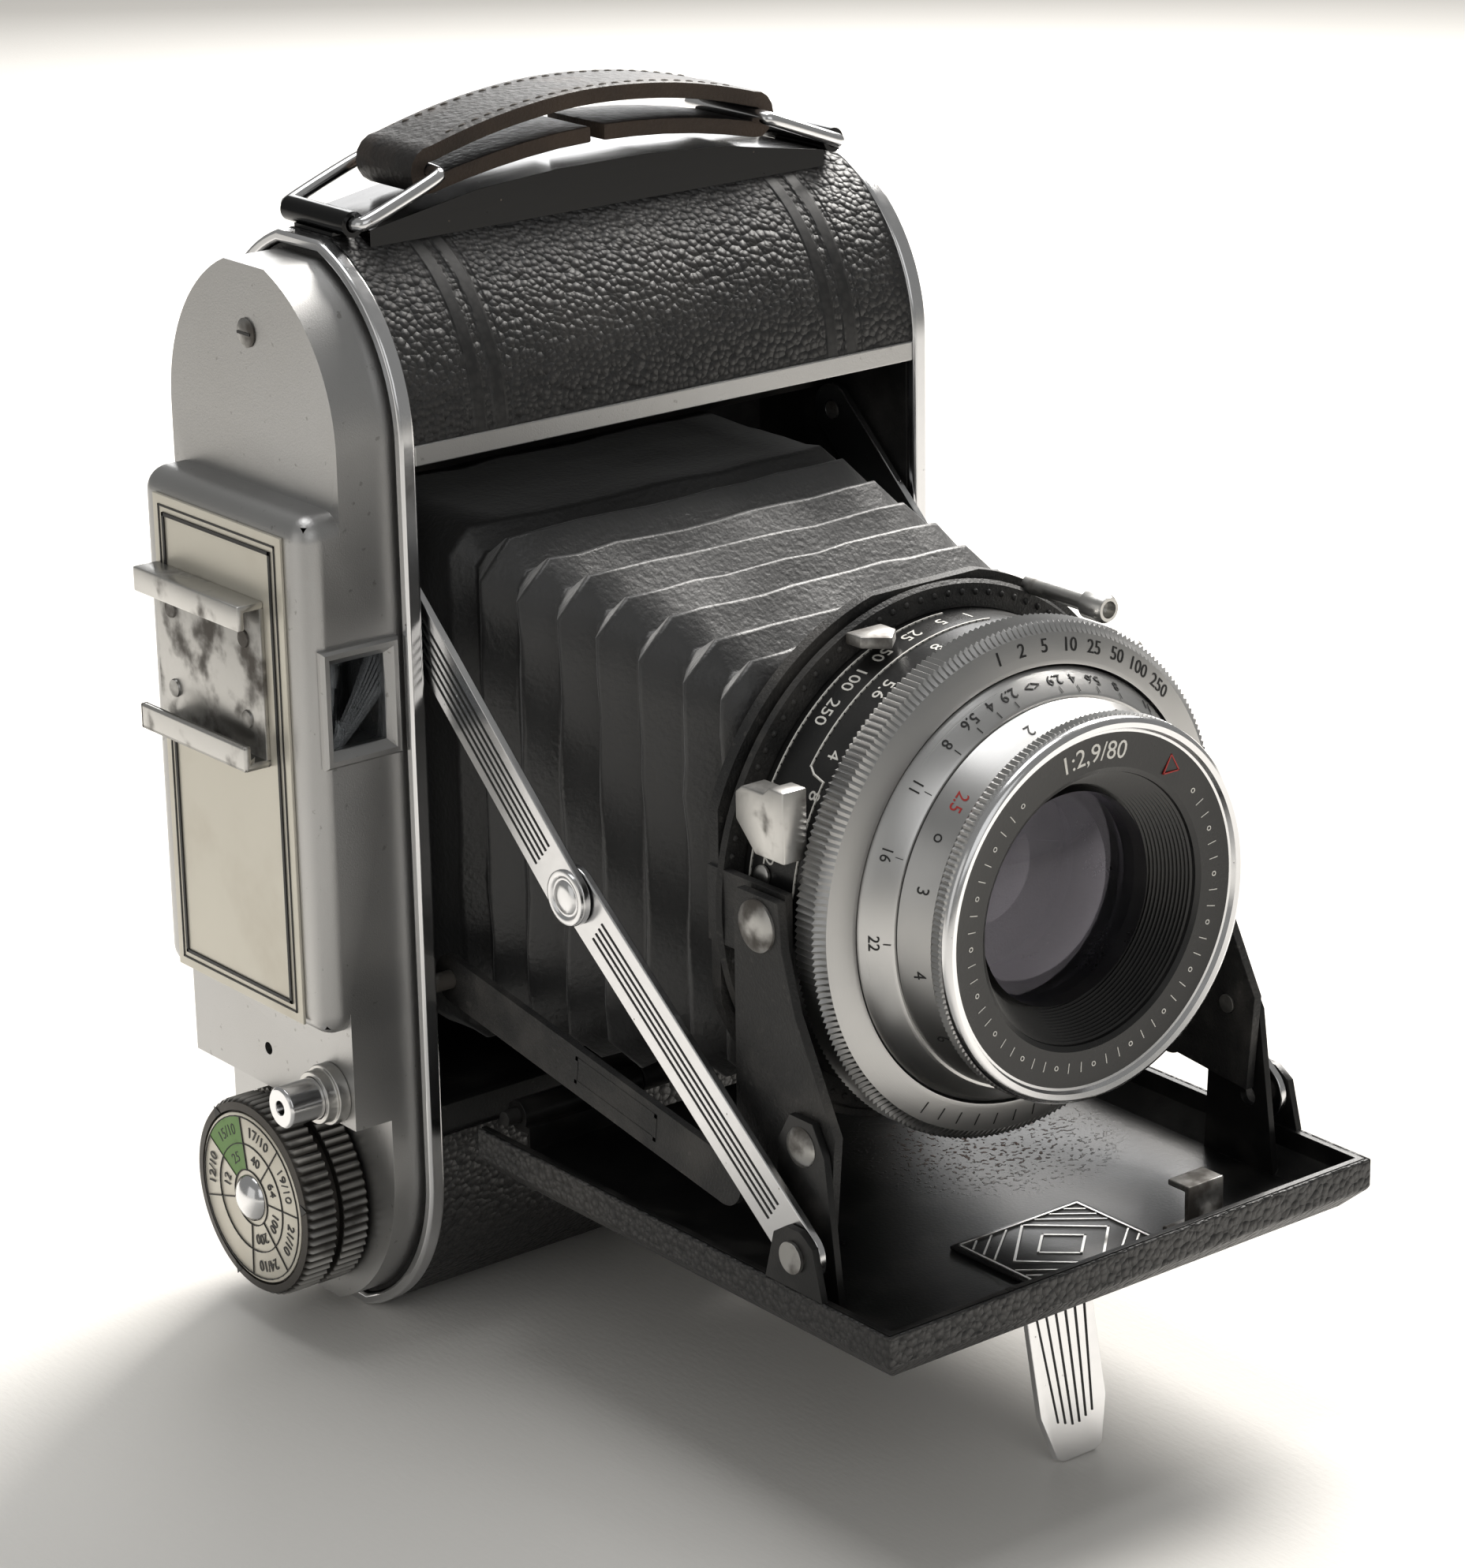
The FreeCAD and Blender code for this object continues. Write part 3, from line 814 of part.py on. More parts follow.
# ---------------------------------------------------------------- lens and shutter
def front_group():
    axis = ("0", "0", "lens_height")
    disc = rod("standard_disc", "Y", ("0", ahead("standard_front"), "lens_height"), "standard_r",
               "standard_front - standard_back")
    zone = slab("standard_zone", ("-standard_half", "standard_half"),
                (ahead("standard_front + 1"), ahead("standard_back - 1")),
                ("lens_height - standard_trim", "lens_height + standard_trim"))
    plate = common("standard_plate", disc, zone)
    cheeks = []
    for word, side in sides:
        low, high = span(side, "standard_half - 0.7", "standard_half + 0.4")
        cheeks.append(slab("cheek_" + word, (low, high), (ahead("q_ahead + 3"), ahead("standard_back")),
                           ("q_height - 5", "q_height + 4")))
    bore = rod("standard_bore", "Y", ("0", ahead("standard_front + 1"), "lens_height"), "cell_r + gap", "6")
    pivots = [rod("cheek_hole_" + word, "X", ("%s * 30" % side + " - 2", ahead("q_ahead"), "q_height"),
                  "1.2", "4")
              for word, side in sides]
    piece("lens_standard", cut("lens_standard", fuse("standard_solid", plate, *cheeks), bore, *pivots))
    y = ahead

    drum = turned("shutter_housing", "Y",
                  [(y("standard_front"), "barrel_r + running"), (y("standard_front"), "shutter_r - 1.2"),
                   (y("standard_front + 1"), "shutter_r"), (y("ring_back - 0.1"), "shutter_r"),
                   (y("ring_back - 0.1"), "barrel_r + running")], axis)
    piece("shutter_housing", drum)
    piece("iris_blades", turned("iris_blades", "Y",
                                [(y("54"), "6.5"), (y("54"), "barrel_r - 0.4"),
                                 (y("54.6"), "barrel_r - 0.4"),
                                 (y("54.6"), "6.5")], axis))
    cell = turned("rear_mount", "Y",
                              [(y("41.4"), "9.4"), (y("41.4"), "cell_r - 0.6"),
                               (y("standard_front"), "cell_r - 0.2"),
                               (y("standard_front"), "barrel_r"), (y("53.9"), "barrel_r"),
                               (y("53.9"), "9.4")], axis)
    glass = turned("rear_glass", "Y",
                               [(y("42.2"), "0"), (y("43.2"), "9.3"), (y("47"), "9.3"), (y("48.6"), "0")],
                   axis)
    piece("rear_cell", group("rear_cell", cell, glass))
    piece("speed_ring", turned("speed_ring", "Y",
                               [(y("ring_back"), "25.8"), (y("ring_back"), "ring_r - 0.5"),
                                (y("ring_back + 0.5"), "ring_r"),
                                (y("ring_front - 0.5"), "ring_r"), (y("ring_front"), "ring_r - 0.5"),
                                (y("ring_front"), "25.8")], axis))
    piece("depth_band", turned("depth_band", "Y",
                               [(y("ring_back - 0.1"), "barrel_r + running"),
                                (y("ring_back - 0.1"), "25.7"), (y("ring_front + 0.2"), "25.7"),
                                (y("band_front"), "23.2"), (y("band_front"), "barrel_r + running")], axis))
    piece("focus_ring", turned("focus_ring", "Y",
                               [(y("band_front + 0.1"), "barrel_r"), (y("band_front + 0.1"), "22.9"),
                                (y("cone_front"), "21.2"), (y("cone_front"), "bezel_r - 0.4"),
                                (y("cone_front + 0.4"), "bezel_r"), (y("bezel_front - 1.2"), "bezel_r"),
                                (y("bezel_front - 1.2"), "barrel_r + 2.2"),
                                (y("cone_front + 1"), "barrel_r + 2.2"),
                                (y("cone_front + 1"), "barrel_r")], axis))
    bezel = turned("front_bezel", "Y",
                                [(y("bezel_front - 1.1"), "glass_r + 0.4"),
                                 (y("bezel_front - 1.1"), "bezel_r - 0.2"),
                                 (y("bezel_front - 0.3"), "bezel_r - 0.2"),
                                 (y("bezel_front"), "bezel_r - 0.7"),
                                 (y("bezel_front"), "bezel_r - 1.5"),
                                 (y("bezel_front - 0.5"), "bezel_r - 1.9"),
                                 (y("bezel_front - 0.5"), "glass_r + 0.4")], axis)
    barrel = turned("front_barrel", "Y",
                               [(y("55"), "12.4"), (y("55"), "barrel_r - 0.1"),
                                (y("bezel_front - 1.2"), "barrel_r - 0.1"),
                                (y("bezel_front - 1.2"), "glass_r + 0.1"), (y("69"), "14"),
                                (y("66"), "12.4")], axis)
    piece("front_cell", group("front_cell", bezel, barrel))
    piece("front_glass", turned("front_glass", "Y",
                                [(y("63"), "0"), (y("64.4"), "12.2"), (y("67"), "12.2"), (y("70"), "7.4"),
                                 (y("71.2"), "0")], axis))

    def ring_spot(angle, radius):
        """A point round the lens axis, angle in degrees from +X towards +Z."""
        return ("%s * cos(%s)" % (radius, angle), "lens_height + %s * sin(%s)" % (radius, angle))

    piece("cocking_lever", slab("cocking_lever", ("-standard_half - 0.5", "-shutter_r + 0.9"),
                                (ahead("58.5"), ahead("50")),
                                ("lens_height + 8.4", "lens_height + 16.8")))
    x, z = ring_spot(112, 30.2)
    piece("aperture_lever", slab("aperture_lever", (x + " - 2.6", x + " + 2.6"),
                                 (ahead("53.5"), ahead("48.4")),
                                 (z, z + " + 1.6")))
    x, z = ring_spot(62, 32.6)
    piece("sync_socket", turned("sync_socket", "Y",
                                [(y("54.6"), "0"), (y("54.6"), "1.7"), (y("60.4"), "1.7"),
                                                    (y("60.4"), "1.1"), (y("58.2"), "1.1"),
                                 (y("58.2"), "0")], (x, "0", z)))
    x, z = ring_spot(44, 30.9)
    piece("release_lever", rod("release_lever", "Y", (x, ahead("57.6"), z), "1.6", "4.4"))
    doc.recompute()


def bellows():
    """A plain hollow frustum in the bellows' place."""
    rear, nose = ahead("-gate_depth + 0.1"), ahead("standard_back - 0.3")
    shells = []
    for tag, less in (("outer", "0"), ("inner", "2.6")):
        sections = []
        for index, (y, wide, tall) in enumerate(((rear, "31", "33.6"), (ahead("4"), "30.6", "33.2"),
                                                (nose, "24.6", "25"))):
            if tag == "inner":
                y = rear + " + 1" if index == 0 else (nose + " - 1" if index == 2 else y)
            half_x, half_z = number("%s - %s" % (wide, less)), number("%s - %s" % (tall, less))
            depth, level = number(y), number("lens_height")
            corners = [Vector(sx * half_x, depth, level + sz * half_z) for sx,
                       sz in ((-1, -1), (1, -1), (1, 1), (-1, 1))]
            sections.append(Part.makePolygon(corners + corners[:1]))
        shells.append(Part.makeLoft(sections, True, True))
    obj = doc.addObject("Part::Feature", "bellows")
    obj.Shape = shells[0].cut(shells[1])
    piece("bellows", obj)


casing()
film_side()
top_housing()
strap()
bed()
linkage()
front_group()
bellows()
doc.recompute()

bad = [obj.Name for obj in doc.Objects if {"Invalid", "Error"} & set(obj.State)]
for obj in parts:
    if obj.Shape.isNull() or not obj.Shape.isValid() or not obj.Shape.Solids:
        bad.append(obj.Label)
if bad:
    raise SystemExit("failed: " + ", ".join(bad))
os.makedirs("parts", exist_ok=True)
for obj in parts:
    obj.Shape.exportStep("parts/%s.step" % obj.Label)
print(len(parts), "parts written")
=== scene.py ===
import bpy, bmesh, math, random
from mathutils import Matrix, Vector, noise


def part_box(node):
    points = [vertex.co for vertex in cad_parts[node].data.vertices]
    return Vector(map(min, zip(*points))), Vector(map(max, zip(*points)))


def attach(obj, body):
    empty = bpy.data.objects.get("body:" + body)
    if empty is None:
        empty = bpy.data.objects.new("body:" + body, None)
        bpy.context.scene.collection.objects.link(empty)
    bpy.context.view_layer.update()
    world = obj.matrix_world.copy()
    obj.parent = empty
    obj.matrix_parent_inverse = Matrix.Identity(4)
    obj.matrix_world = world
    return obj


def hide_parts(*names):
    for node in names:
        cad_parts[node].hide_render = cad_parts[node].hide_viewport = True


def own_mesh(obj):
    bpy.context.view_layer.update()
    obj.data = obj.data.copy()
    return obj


# A folding bellows camera standing on end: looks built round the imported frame.
# Shapes are worked out in millimetres and made metres when each piece is finished.
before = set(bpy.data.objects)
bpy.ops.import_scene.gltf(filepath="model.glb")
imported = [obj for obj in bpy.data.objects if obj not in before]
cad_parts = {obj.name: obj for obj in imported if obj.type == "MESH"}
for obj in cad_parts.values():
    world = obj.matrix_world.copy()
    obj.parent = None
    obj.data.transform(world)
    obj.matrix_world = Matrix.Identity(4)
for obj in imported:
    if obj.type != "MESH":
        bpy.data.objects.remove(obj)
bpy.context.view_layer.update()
mm = 0.001
dice = random.Random(7)


def corners(node):                      # a node's two corners, in millimetres
    low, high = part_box(node)
    return Vector(low) / mm, Vector(high) / mm


# Finishes. Shader sums are written as plain expressions.
class Wire:
    def __init__(self, finish, end):
        self.finish, self.end = finish, end

    def sum(self, kind, *rest):
        return self.finish.node("Math", dict(operation=kind), dict(enumerate((self,) + rest)))

    def __add__(self, other): return self.sum("ADD", other)
    def __radd__(self, other): return self.sum("ADD", other)
    def __sub__(self, other): return self.sum("SUBTRACT", other)
    def __rsub__(self, other): return self * -1 + other
    def __mul__(self, other): return self.sum("MULTIPLY", other)
    def __rmul__(self, other): return self.sum("MULTIPLY", other)
    def size(self): return self.sum("ABSOLUTE")
    def power(self, other): return self.sum("POWER", other)

    def above(self, limit, soft):       # a soft step from 0 to 1 at the limit
        return self.finish.node("MapRange", dict(interpolation_type="SMOOTHSTEP"),
                                {0: self, 1: limit - soft, 2: limit + soft})


class Finish:
    def __init__(self, name):
        self.material = bpy.data.materials.new(name)
        self.material.use_nodes = True
        self.tree = self.material.node_tree
        self.shader = self.tree.nodes["Principled BSDF"]
        self.spot = self.node("TexCoord", out="Object")

    def node(self, kind, settings=(), values=(), out=0):
        made = self.tree.nodes.new("ShaderNode" + kind)
        for key, value in dict(settings).items():
            if key == "stops":
                ramp = made.color_ramp.elements
                while len(ramp) < len(value):
                    ramp.new(0.5)
                for stop, (place, colour) in zip(ramp, value):
                    stop.position, stop.color = place, colour
            else:
                setattr(made, key, value)
        for key, value in dict(values).items():
            if isinstance(value, Wire):
                self.tree.links.new(value.end, made.inputs[key])
            else:
                made.inputs[key].default_value = value
        return Wire(self, made.outputs[out])

    def stretched(self, amounts):
        return self.node("Mapping", {}, {"Vector": self.spot, "Scale": amounts})

    def grain(self, scale, detail=3, spot=None, out="Fac"):
        return self.node("TexNoise", {}, {"Vector": spot or self.spot, "Scale": scale, "Detail": detail},
                         out)

    def cells(self, scale, spot=None, feature="F1"):
        return self.node("TexVoronoi", dict(feature=feature), {"Vector": spot or self.spot, "Scale": scale},
                         "Distance")

    def axis(self, letter, spot=None):
        return self.node("SeparateXYZ", {}, {0: spot or self.spot}, letter)

    def blend(self, share, first, second):
        return self.node("Mix", dict(data_type="RGBA"), {0: share, 6: first, 7: second}, 2)

    def relief(self, height, depth, strength=1.0):
        self.set(Normal=self.node("Bump", {}, {"Height": height, "Distance": depth, "Strength": strength}))

    def set(self, **values):
        for key, value in values.items():
            socket = self.shader.inputs[key.replace("_", " ")]
            if isinstance(value, Wire):
                self.tree.links.new(value.end, socket)
            else:
                socket.default_value = value
        return self


def shade(value, tint=(1, 1, 1)):       # a grey, or a tinted one, with its alpha
    return tuple(value * part for part in tint) + (1,)


def pebbledLeather(name, striped=False):
    f = Finish(name)
    wander = f.node("VectorMath", dict(operation="MULTIPLY_ADD"),
                    {0: f.grain(420, 2, out="Color"), 1: (0.0004, 0.0004, 0.0004), 2: f.spot})
    pebble = 1 - f.cells(1120, wander).power(1.7) * 1.9
    fine = f.grain(5200, 4)
    height = pebble + fine * 0.16
    if striped:                         # smooth pressed bands run round the drum, between grooves
        press = dict(bands=(0.0252, 0.0283), bandHalf=0.0009, grooves=(0.0240, 0.02675, 0.0296),
                     grooveHalf=0.0004,
                     soft=0.0002)
        across = f.axis("X").size()
        smooth = groove = 0
        for middle in press["bands"]:
            smooth = 1 - ((across - middle).size().above(press["bandHalf"], press["soft"])) + smooth
        for middle in press["grooves"]:
            groove = 1 - ((across - middle).size().above(press["grooveHalf"], press["soft"])) + groove
        height = height * (1 - smooth) + smooth * 0.75 - groove * 1.2
    f.relief(height, 0.00022, 0.9)
    dust = f.grain(38, 5)
    # pebble tops get a greyer worn tone; the grooves between pebbles are painted darker as shade
    dark = f.blend(pebble, shade(0.009), shade(0.026, (1, 0.95, 0.93)))
    f.set(Base_Color=f.blend(dust.above(0.62, 0.1) * 0.35, dark, shade(0.075, (1, 0.93, 0.86))),
          Roughness=0.46 + fine * 0.2 - dust * 0.16, Coat_Roughness=0.3, Specular_IOR_Level=0.6)
    return f.material


def polishedChrome(name, value=0.8, rough=0.07, run=(1, 1, 1)):
    f = Finish(name)
    lines = f.grain(900, 4, f.stretched(run))
    pits = f.cells(420).power(0.5)
    patch = f.grain(70, 4)
    spots = 1 - pits.above(0.22, 0.05)
    f.set(Metallic=1.0, Roughness=rough + lines * 0.14 + patch * 0.08 + spots * 0.3,
          Base_Color=f.blend(spots * patch.above(0.52, 0.05), shade(value, (1, 1, 1.01)),
                             shade(0.2, (1, 0.85, 0.7))))
    f.relief(lines, 0.00001, 0.35)
    return f.material


def satinChrome(name, value=0.5):
    f = Finish(name)
    fine = f.grain(5200, 5)
    broad = f.grain(45, 5)
    speck = f.grain(800, 3).above(0.71, 0.03)
    tint = f.blend(broad, shade(value * 0.88, (1, 0.985, 0.96)), shade(value * 1.06, (1, 1, 1)))
    f.set(Metallic=1.0, Base_Color=f.blend(speck * 0.5, tint, shade(0.2, (1, 0.95, 0.88))),
          Roughness=0.29 + fine * 0.14 + broad * 0.07)
    f.relief(fine, 0.00004, 0.55)
    return f.material


def spunMetal(name, centre, value=0.66, rough=0.2):
    f = Finish(name)                    # turned metal, its fine lines running round the lens axis
    place = f.node("VectorMath", dict(operation="SUBTRACT"), {0: f.spot, 1: centre})
    around = (f.axis("X", place).power(2.0) + f.axis("Z", place).power(2.0)).power(0.5)
    lines = f.node("TexNoise", dict(noise_dimensions="1D"),
                   {"W": around + f.axis("Y", place), "Scale": 9000, "Detail": 3})
    broad = f.grain(90, 4)
    f.set(Metallic=1.0, Base_Color=f.blend(broad, shade(value * 0.85),
                                           shade(value * 1.08, (1, 0.99, 0.97))),
          Roughness=rough + lines * 0.15 + broad * 0.08)
    f.relief(lines, 0.000015, 0.5)
    return f.material


def wornNickel(name, value=0.42, dirt=0.5):
    f = Finish(name)
    fine = f.grain(1500, 5)
    patch = f.grain(210, 6)
    worn = patch.above(dirt, 0.12)
    f.set(Metallic=1 - worn * 0.45, Roughness=0.26 + worn * 0.3 + fine * 0.12,
          Base_Color=f.blend(worn, shade(value, (1, 0.985, 0.95)), shade(value * 0.22, (1, 0.9, 0.8))))
    f.relief(fine * 0.4 + patch * 0.5, 0.00006, 0.5)
    return f.material


def nickelWithGrooveShade(name):                 # bright on the knob's ridges, its grooves painted dark as shade
    f = Finish(name)
    knob = dict(height=0.0172, ridge=0.01245, soft=0.00018)
    out = (f.axis("Y").power(2.0) + (f.axis("Z") - knob["height"]).power(2.0)).power(0.5)
    patch = f.grain(260, 6)
    # ridge mask by radius: the grooves get a painted dark shade, and the patch noise also leaves dark
    # tarnish on some ridges
    ridge = out.above(knob["ridge"], knob["soft"]) * patch.above(0.36, 0.2)
    f.set(Metallic=0.9, Roughness=0.3 + patch * 0.2,
          Base_Color=f.blend(ridge, shade(0.06, (1, 0.93, 0.86)), shade(0.5, (1, 0.985, 0.95))))
    f.relief(patch + f.grain(1500, 5) * 0.4, 0.00005, 0.5)
    return f.material


def blackEnamel(name, grit=0.5, gloss=0.4, dusty=0.2):
    f = Finish(name)
    fine = f.grain(2600, 4)
    dust = f.grain(130, 6)
    lint = f.grain(900, 2).above(0.7, 0.04)
    f.set(Base_Color=f.blend(dust.above(0.56, 0.14) * dusty + lint * dusty * 0.6, shade(0.011),
                             shade(0.14, (1, 0.93, 0.85))),
          Roughness=gloss + dust * 0.2 + fine * 0.1)
    f.relief(fine, 0.00012, grit)
    return f.material


def creamEnamel(name):
    f = Finish(name)
    stain = f.grain(75, 6)
    streak = f.grain(600, 4, f.stretched((1, 1, 0.08)))
    f.set(Metallic=0.45, Roughness=0.3 + stain * 0.14,
          Base_Color=f.blend(stain.above(0.6, 0.14) * 0.3, shade(0.64, (1, 0.955, 0.83)),
                             shade(0.42, (1, 0.86, 0.66))))
    f.relief(streak, 0.00001, 0.4)
    return f.material


def bellowsCloth(name):
    f = Finish(name)
    fine = f.grain(1500, 5)
    creases = f.cells(330, f.stretched((1, 1, 0.6)), "DISTANCE_TO_EDGE").above(0.06, 0.05)
    broad = f.grain(120, 5)
    f.set(Base_Color=f.blend(broad, shade(0.014), shade(0.034, (1, 1, 1.02))),
          Roughness=0.36 + broad * 0.16)
    f.relief(fine * 0.7 + broad * 1.2 + creases * 0.06, 0.00022, 0.6)
    f.set(Specular_IOR_Level=0.7, Sheen_Weight=0.35, Sheen_Roughness=0.45)
    return f.material


def strapLeather(name, raw=False):
    f = Finish(name)
    fine = f.grain(900, 6)
    broad = f.grain(110, 5)
    if raw:                             # the cut edge, tan and fibrous
        f.set(Base_Color=f.blend(broad, shade(0.02, (1, 0.8, 0.65)), shade(0.09, (1, 0.66, 0.45))),
              Roughness=0.75)
        f.relief(f.grain(2200, 5), 0.00025, 0.9)
    else:
        wear = broad.above(0.57, 0.1)
        f.set(Base_Color=f.blend(wear * 0.6, shade(0.017, (1, 0.88, 0.82)), shade(0.07, (1, 0.72, 0.55))),
              Roughness=0.42 + fine * 0.2)
        f.relief(fine + f.cells(1300) * 0.4, 0.00018, 0.8)
    return f.material


def lensGlass(name, tint=(1, 1, 1), clear=0.004):
    f = Finish(name)                    # a mirror that is only as solid as glass reflects
    bounce = f.node("LayerWeight", {}, {"Blend": 0.5}, "Facing").power(4.0)
    smear = f.grain(160, 4)
    f.set(Base_Color=f.blend(smear, shade(0.92, tint), shade(0.8, tint)), Metallic=1.0,
          Roughness=0.02 + smear.above(0.6, 0.1) * 0.05,
          Alpha=bounce * 0.9 + 0.035 + smear.above(0.55, 0.2) * 0.01 + clear)
    return f.material


def redPane(name):
    f = Finish(name)
    f.set(Base_Color=f.blend(f.grain(300, 3), shade(0.16, (1, 0.05, 0.04)), shade(0.24, (1, 0.06, 0.05))),
          Roughness=0.12 + f.grain(800, 3) * 0.08, Coat_Weight=1.0)
    return f.material


def trayEnamel(name):                   # gloss black, with rust crumbs under the lens
    f = Finish(name)
    heap = dict(centre=(0.014, -0.06, 0.0255), reach=0.011, soft=0.008)
    fine, dust = f.grain(2600, 4), f.grain(130, 6)
    away = f.node("VectorMath", dict(operation="DISTANCE"), {0: f.spot, 1: heap["centre"]}, "Value")
    crumbs = f.grain(1500, 5).above(0.6, 0.03) * (1 - away.above(heap["reach"], heap["soft"]))
    dull = f.blend(dust.above(0.58, 0.12) * 0.14, shade(0.008), shade(0.13, (1, 0.94, 0.88)))
    f.set(Base_Color=f.blend(crumbs, dull, shade(0.05, (1, 0.42, 0.24))),
          Roughness=0.22 + dust * 0.2 + crumbs * 0.5,
          Specular_IOR_Level=0.35)
    f.relief(crumbs + fine * 0.06, 0.0004, 0.7)
    return f.material


def ink(name, colour, rough=0.45):
    f = Finish(name)
    wear = f.grain(700, 4)
    f.set(Base_Color=f.blend(wear.above(0.66, 0.1) * 0.4, colour,
                             tuple(c * 0.6 for c in colour[:3]) + (1,)),
          Roughness=rough + wear * 0.1)
    return f.material


lensHeight = 0.0687                     # the lens axis above the ground, in metres
looks = dict(
    leather=pebbledLeather("pebbled leather"), drumLeather=pebbledLeather("drum leather", True),
    chrome=polishedChrome("polished chrome"),
    scratched=polishedChrome("scratched chrome", 0.72, 0.1, (0.1, 1, 1)),
    # the strap bar's chrome gets a near-black base colour: a painted dark reflection
    barChrome=polishedChrome("bar chrome with painted dark reflection", 0.035, 0.05, (0.1, 1, 1)),
    satin=satinChrome("satin chrome"), spun=spunMetal("spun satin band", (0, 0, lensHeight)),
    spunDark=spunMetal("spun grey band", (0, 0, lensHeight), 0.5, 0.24),
    nickel=wornNickel("worn nickel"), ridged=nickelWithGrooveShade("ridged nickel"),
    shoeNickel=wornNickel("shoe nickel", 0.5, 0.57),
    pale=wornNickel("bright nickel", 0.6, 0.66), enamel=blackEnamel("black enamel"),
    sandy=blackEnamel("sandy black enamel", 1.0, 0.42, 0.3), tray=trayEnamel("worn gloss black"),
    gloss=blackEnamel("gloss black", 0.12, 0.16, 0.06), cream=creamEnamel("champagne enamel"),
    bellows=bellowsCloth("bellows leathercloth"), strap=strapLeather("strap leather"),
    rawEdge=strapLeather("strap raw edge", True),
    thread=ink("waxed thread", shade(0.05, (1, 0.8, 0.6)), 0.7),
    glass=lensGlass("coated glass", (0.9, 0.86, 1)),
    window=lensGlass("finder glass", (0.85, 0.92, 1), 0.02),
    red=redPane("red window pane"), aluminium=satinChrome("matte aluminium", 0.5),
    brass=wornNickel("dull brass", 0.4, 0.6), white=ink("white ink", shade(0.8, (1, 0.98, 0.92))),
    black=ink("black ink", shade(0.012)), redInk=ink("red ink", shade(0.45, (1, 0.06, 0.05))),
    green=ink("green ink", shade(0.3, (0.5, 1, 0.25))))
print("finishes made:", len(looks))


# Tools that several pieces share. They work in millimetres.
welded = 1e-4                           # points this near each other become one


def keep(bm, name, look, body, replaced=(), sharp=35, grow=mm, fix=True):
    if fix:                             # turns a finished bmesh into a piece that rides on a body
        bmesh.ops.remove_doubles(bm, verts=bm.verts, dist=welded)
        bmesh.ops.recalc_face_normals(bm, faces=bm.faces)
    bmesh.ops.scale(bm, verts=bm.verts, vec=(grow,) * 3)
    mesh = bpy.data.meshes.new(name)
    bm.to_mesh(mesh)
    bm.free()
    mesh.shade_smooth()
    mesh.set_sharp_from_angle(angle=math.radians(sharp))
    piece = bpy.data.objects.new(name, mesh)
    bpy.context.collection.objects.link(piece)
    for word in ([look] if isinstance(look, str) else look):
        mesh.materials.append(looks[word])
    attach(piece, body)
    if replaced:
        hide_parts(*replaced)
    return piece


def lathe(bm, outline, centre, ahead, steps=96):
    side = Vector((0, 0, 1))            # spins a closed outline of (distance along, radius) round an axis
    verts = [bm.verts.new(centre + ahead * along + side * radius) for along, radius in outline]
    edges = [bm.edges.new(pair) for pair in zip(verts, verts[1:] + verts[:1])]
    bmesh.ops.spin(bm, geom=verts + edges, cent=centre, axis=ahead, angle=2 * math.pi, steps=steps,
                   use_merge=True)
    bmesh.ops.remove_doubles(bm, verts=bm.verts, dist=welded)


def knurl(bm, centre, ahead, steps, inner, depth, low=-math.inf, high=math.inf):
    side, up = Vector((0, 0, 1)), ahead.cross(Vector((0, 0, 1)))
    for vert in bm.verts:               # pushes every other column of a turned rim inward
        way = vert.co - centre
        along = way.dot(ahead)
        way -= ahead * along
        if way.length > inner and low < along < high:
            turn = math.atan2(way.dot(up), way.dot(side)) / (2 * math.pi) * steps
            if round(turn) % 2:
                vert.co -= way.normalized() * depth


def box(bm, low, high, rounding=0.0, segments=2):
    low, high = Vector(low), Vector(high)
    place = Matrix.Translation((low + high) / 2) @ Matrix.Diagonal((high - low).to_4d())
    made = bmesh.ops.create_cube(bm, size=1, matrix=place)["verts"]
    if rounding:
        edges = list({edge for vert in made for edge in vert.link_edges})
        bmesh.ops.bevel(bm, geom=edges, offset=rounding, segments=segments, affect="EDGES", profile=0.5,
                        material=-1)


# Adds a word in thin solid letters; place maps (x, y, z) onto the surface.
def letters(bm, text, size, place):
    curve = bpy.data.curves.new("letters", "FONT")
    curve.body, curve.size, curve.extrude, curve.resolution_u = text, size, 0.03, 3
    curve.align_x, curve.align_y = "CENTER", "CENTER"
    holder = bpy.data.objects.new("letters", curve)
    bpy.context.collection.objects.link(holder)
    bpy.context.view_layer.update()
    mesh = bpy.data.meshes.new_from_object(holder.evaluated_get(bpy.context.evaluated_depsgraph_get()))
    before = len(bm.verts)
    bm.from_mesh(mesh)
    bm.verts.ensure_lookup_table()
    for vert in bm.verts[before:]:
        vert.co = place(*vert.co)
    bpy.data.objects.remove(holder)
    bpy.data.curves.remove(curve)
    bpy.data.meshes.remove(mesh)


lensCentre = Vector((0, -20, lensHeight / mm))
forward = Vector((0, -1, 0))


# A mapping onto a ring round the lens: lean 0 is a cylinder's side, 90 its flat face.
def roundLens(angle, ahead, radius, lean=0.0, flip=False):
    turn, tilt, sign = math.radians(angle), math.radians(lean), -1 if flip else 1

    def place(x, y, z):
        x, y = x * sign, y * sign
        at = radius + y * math.sin(tilt) + z * math.cos(tilt)
        along = ahead - y * math.cos(tilt) + z * math.sin(tilt)
        bend = turn - x / radius
        return lensCentre + forward * along + Vector((math.cos(bend), 0, math.sin(bend))) * at
    return place


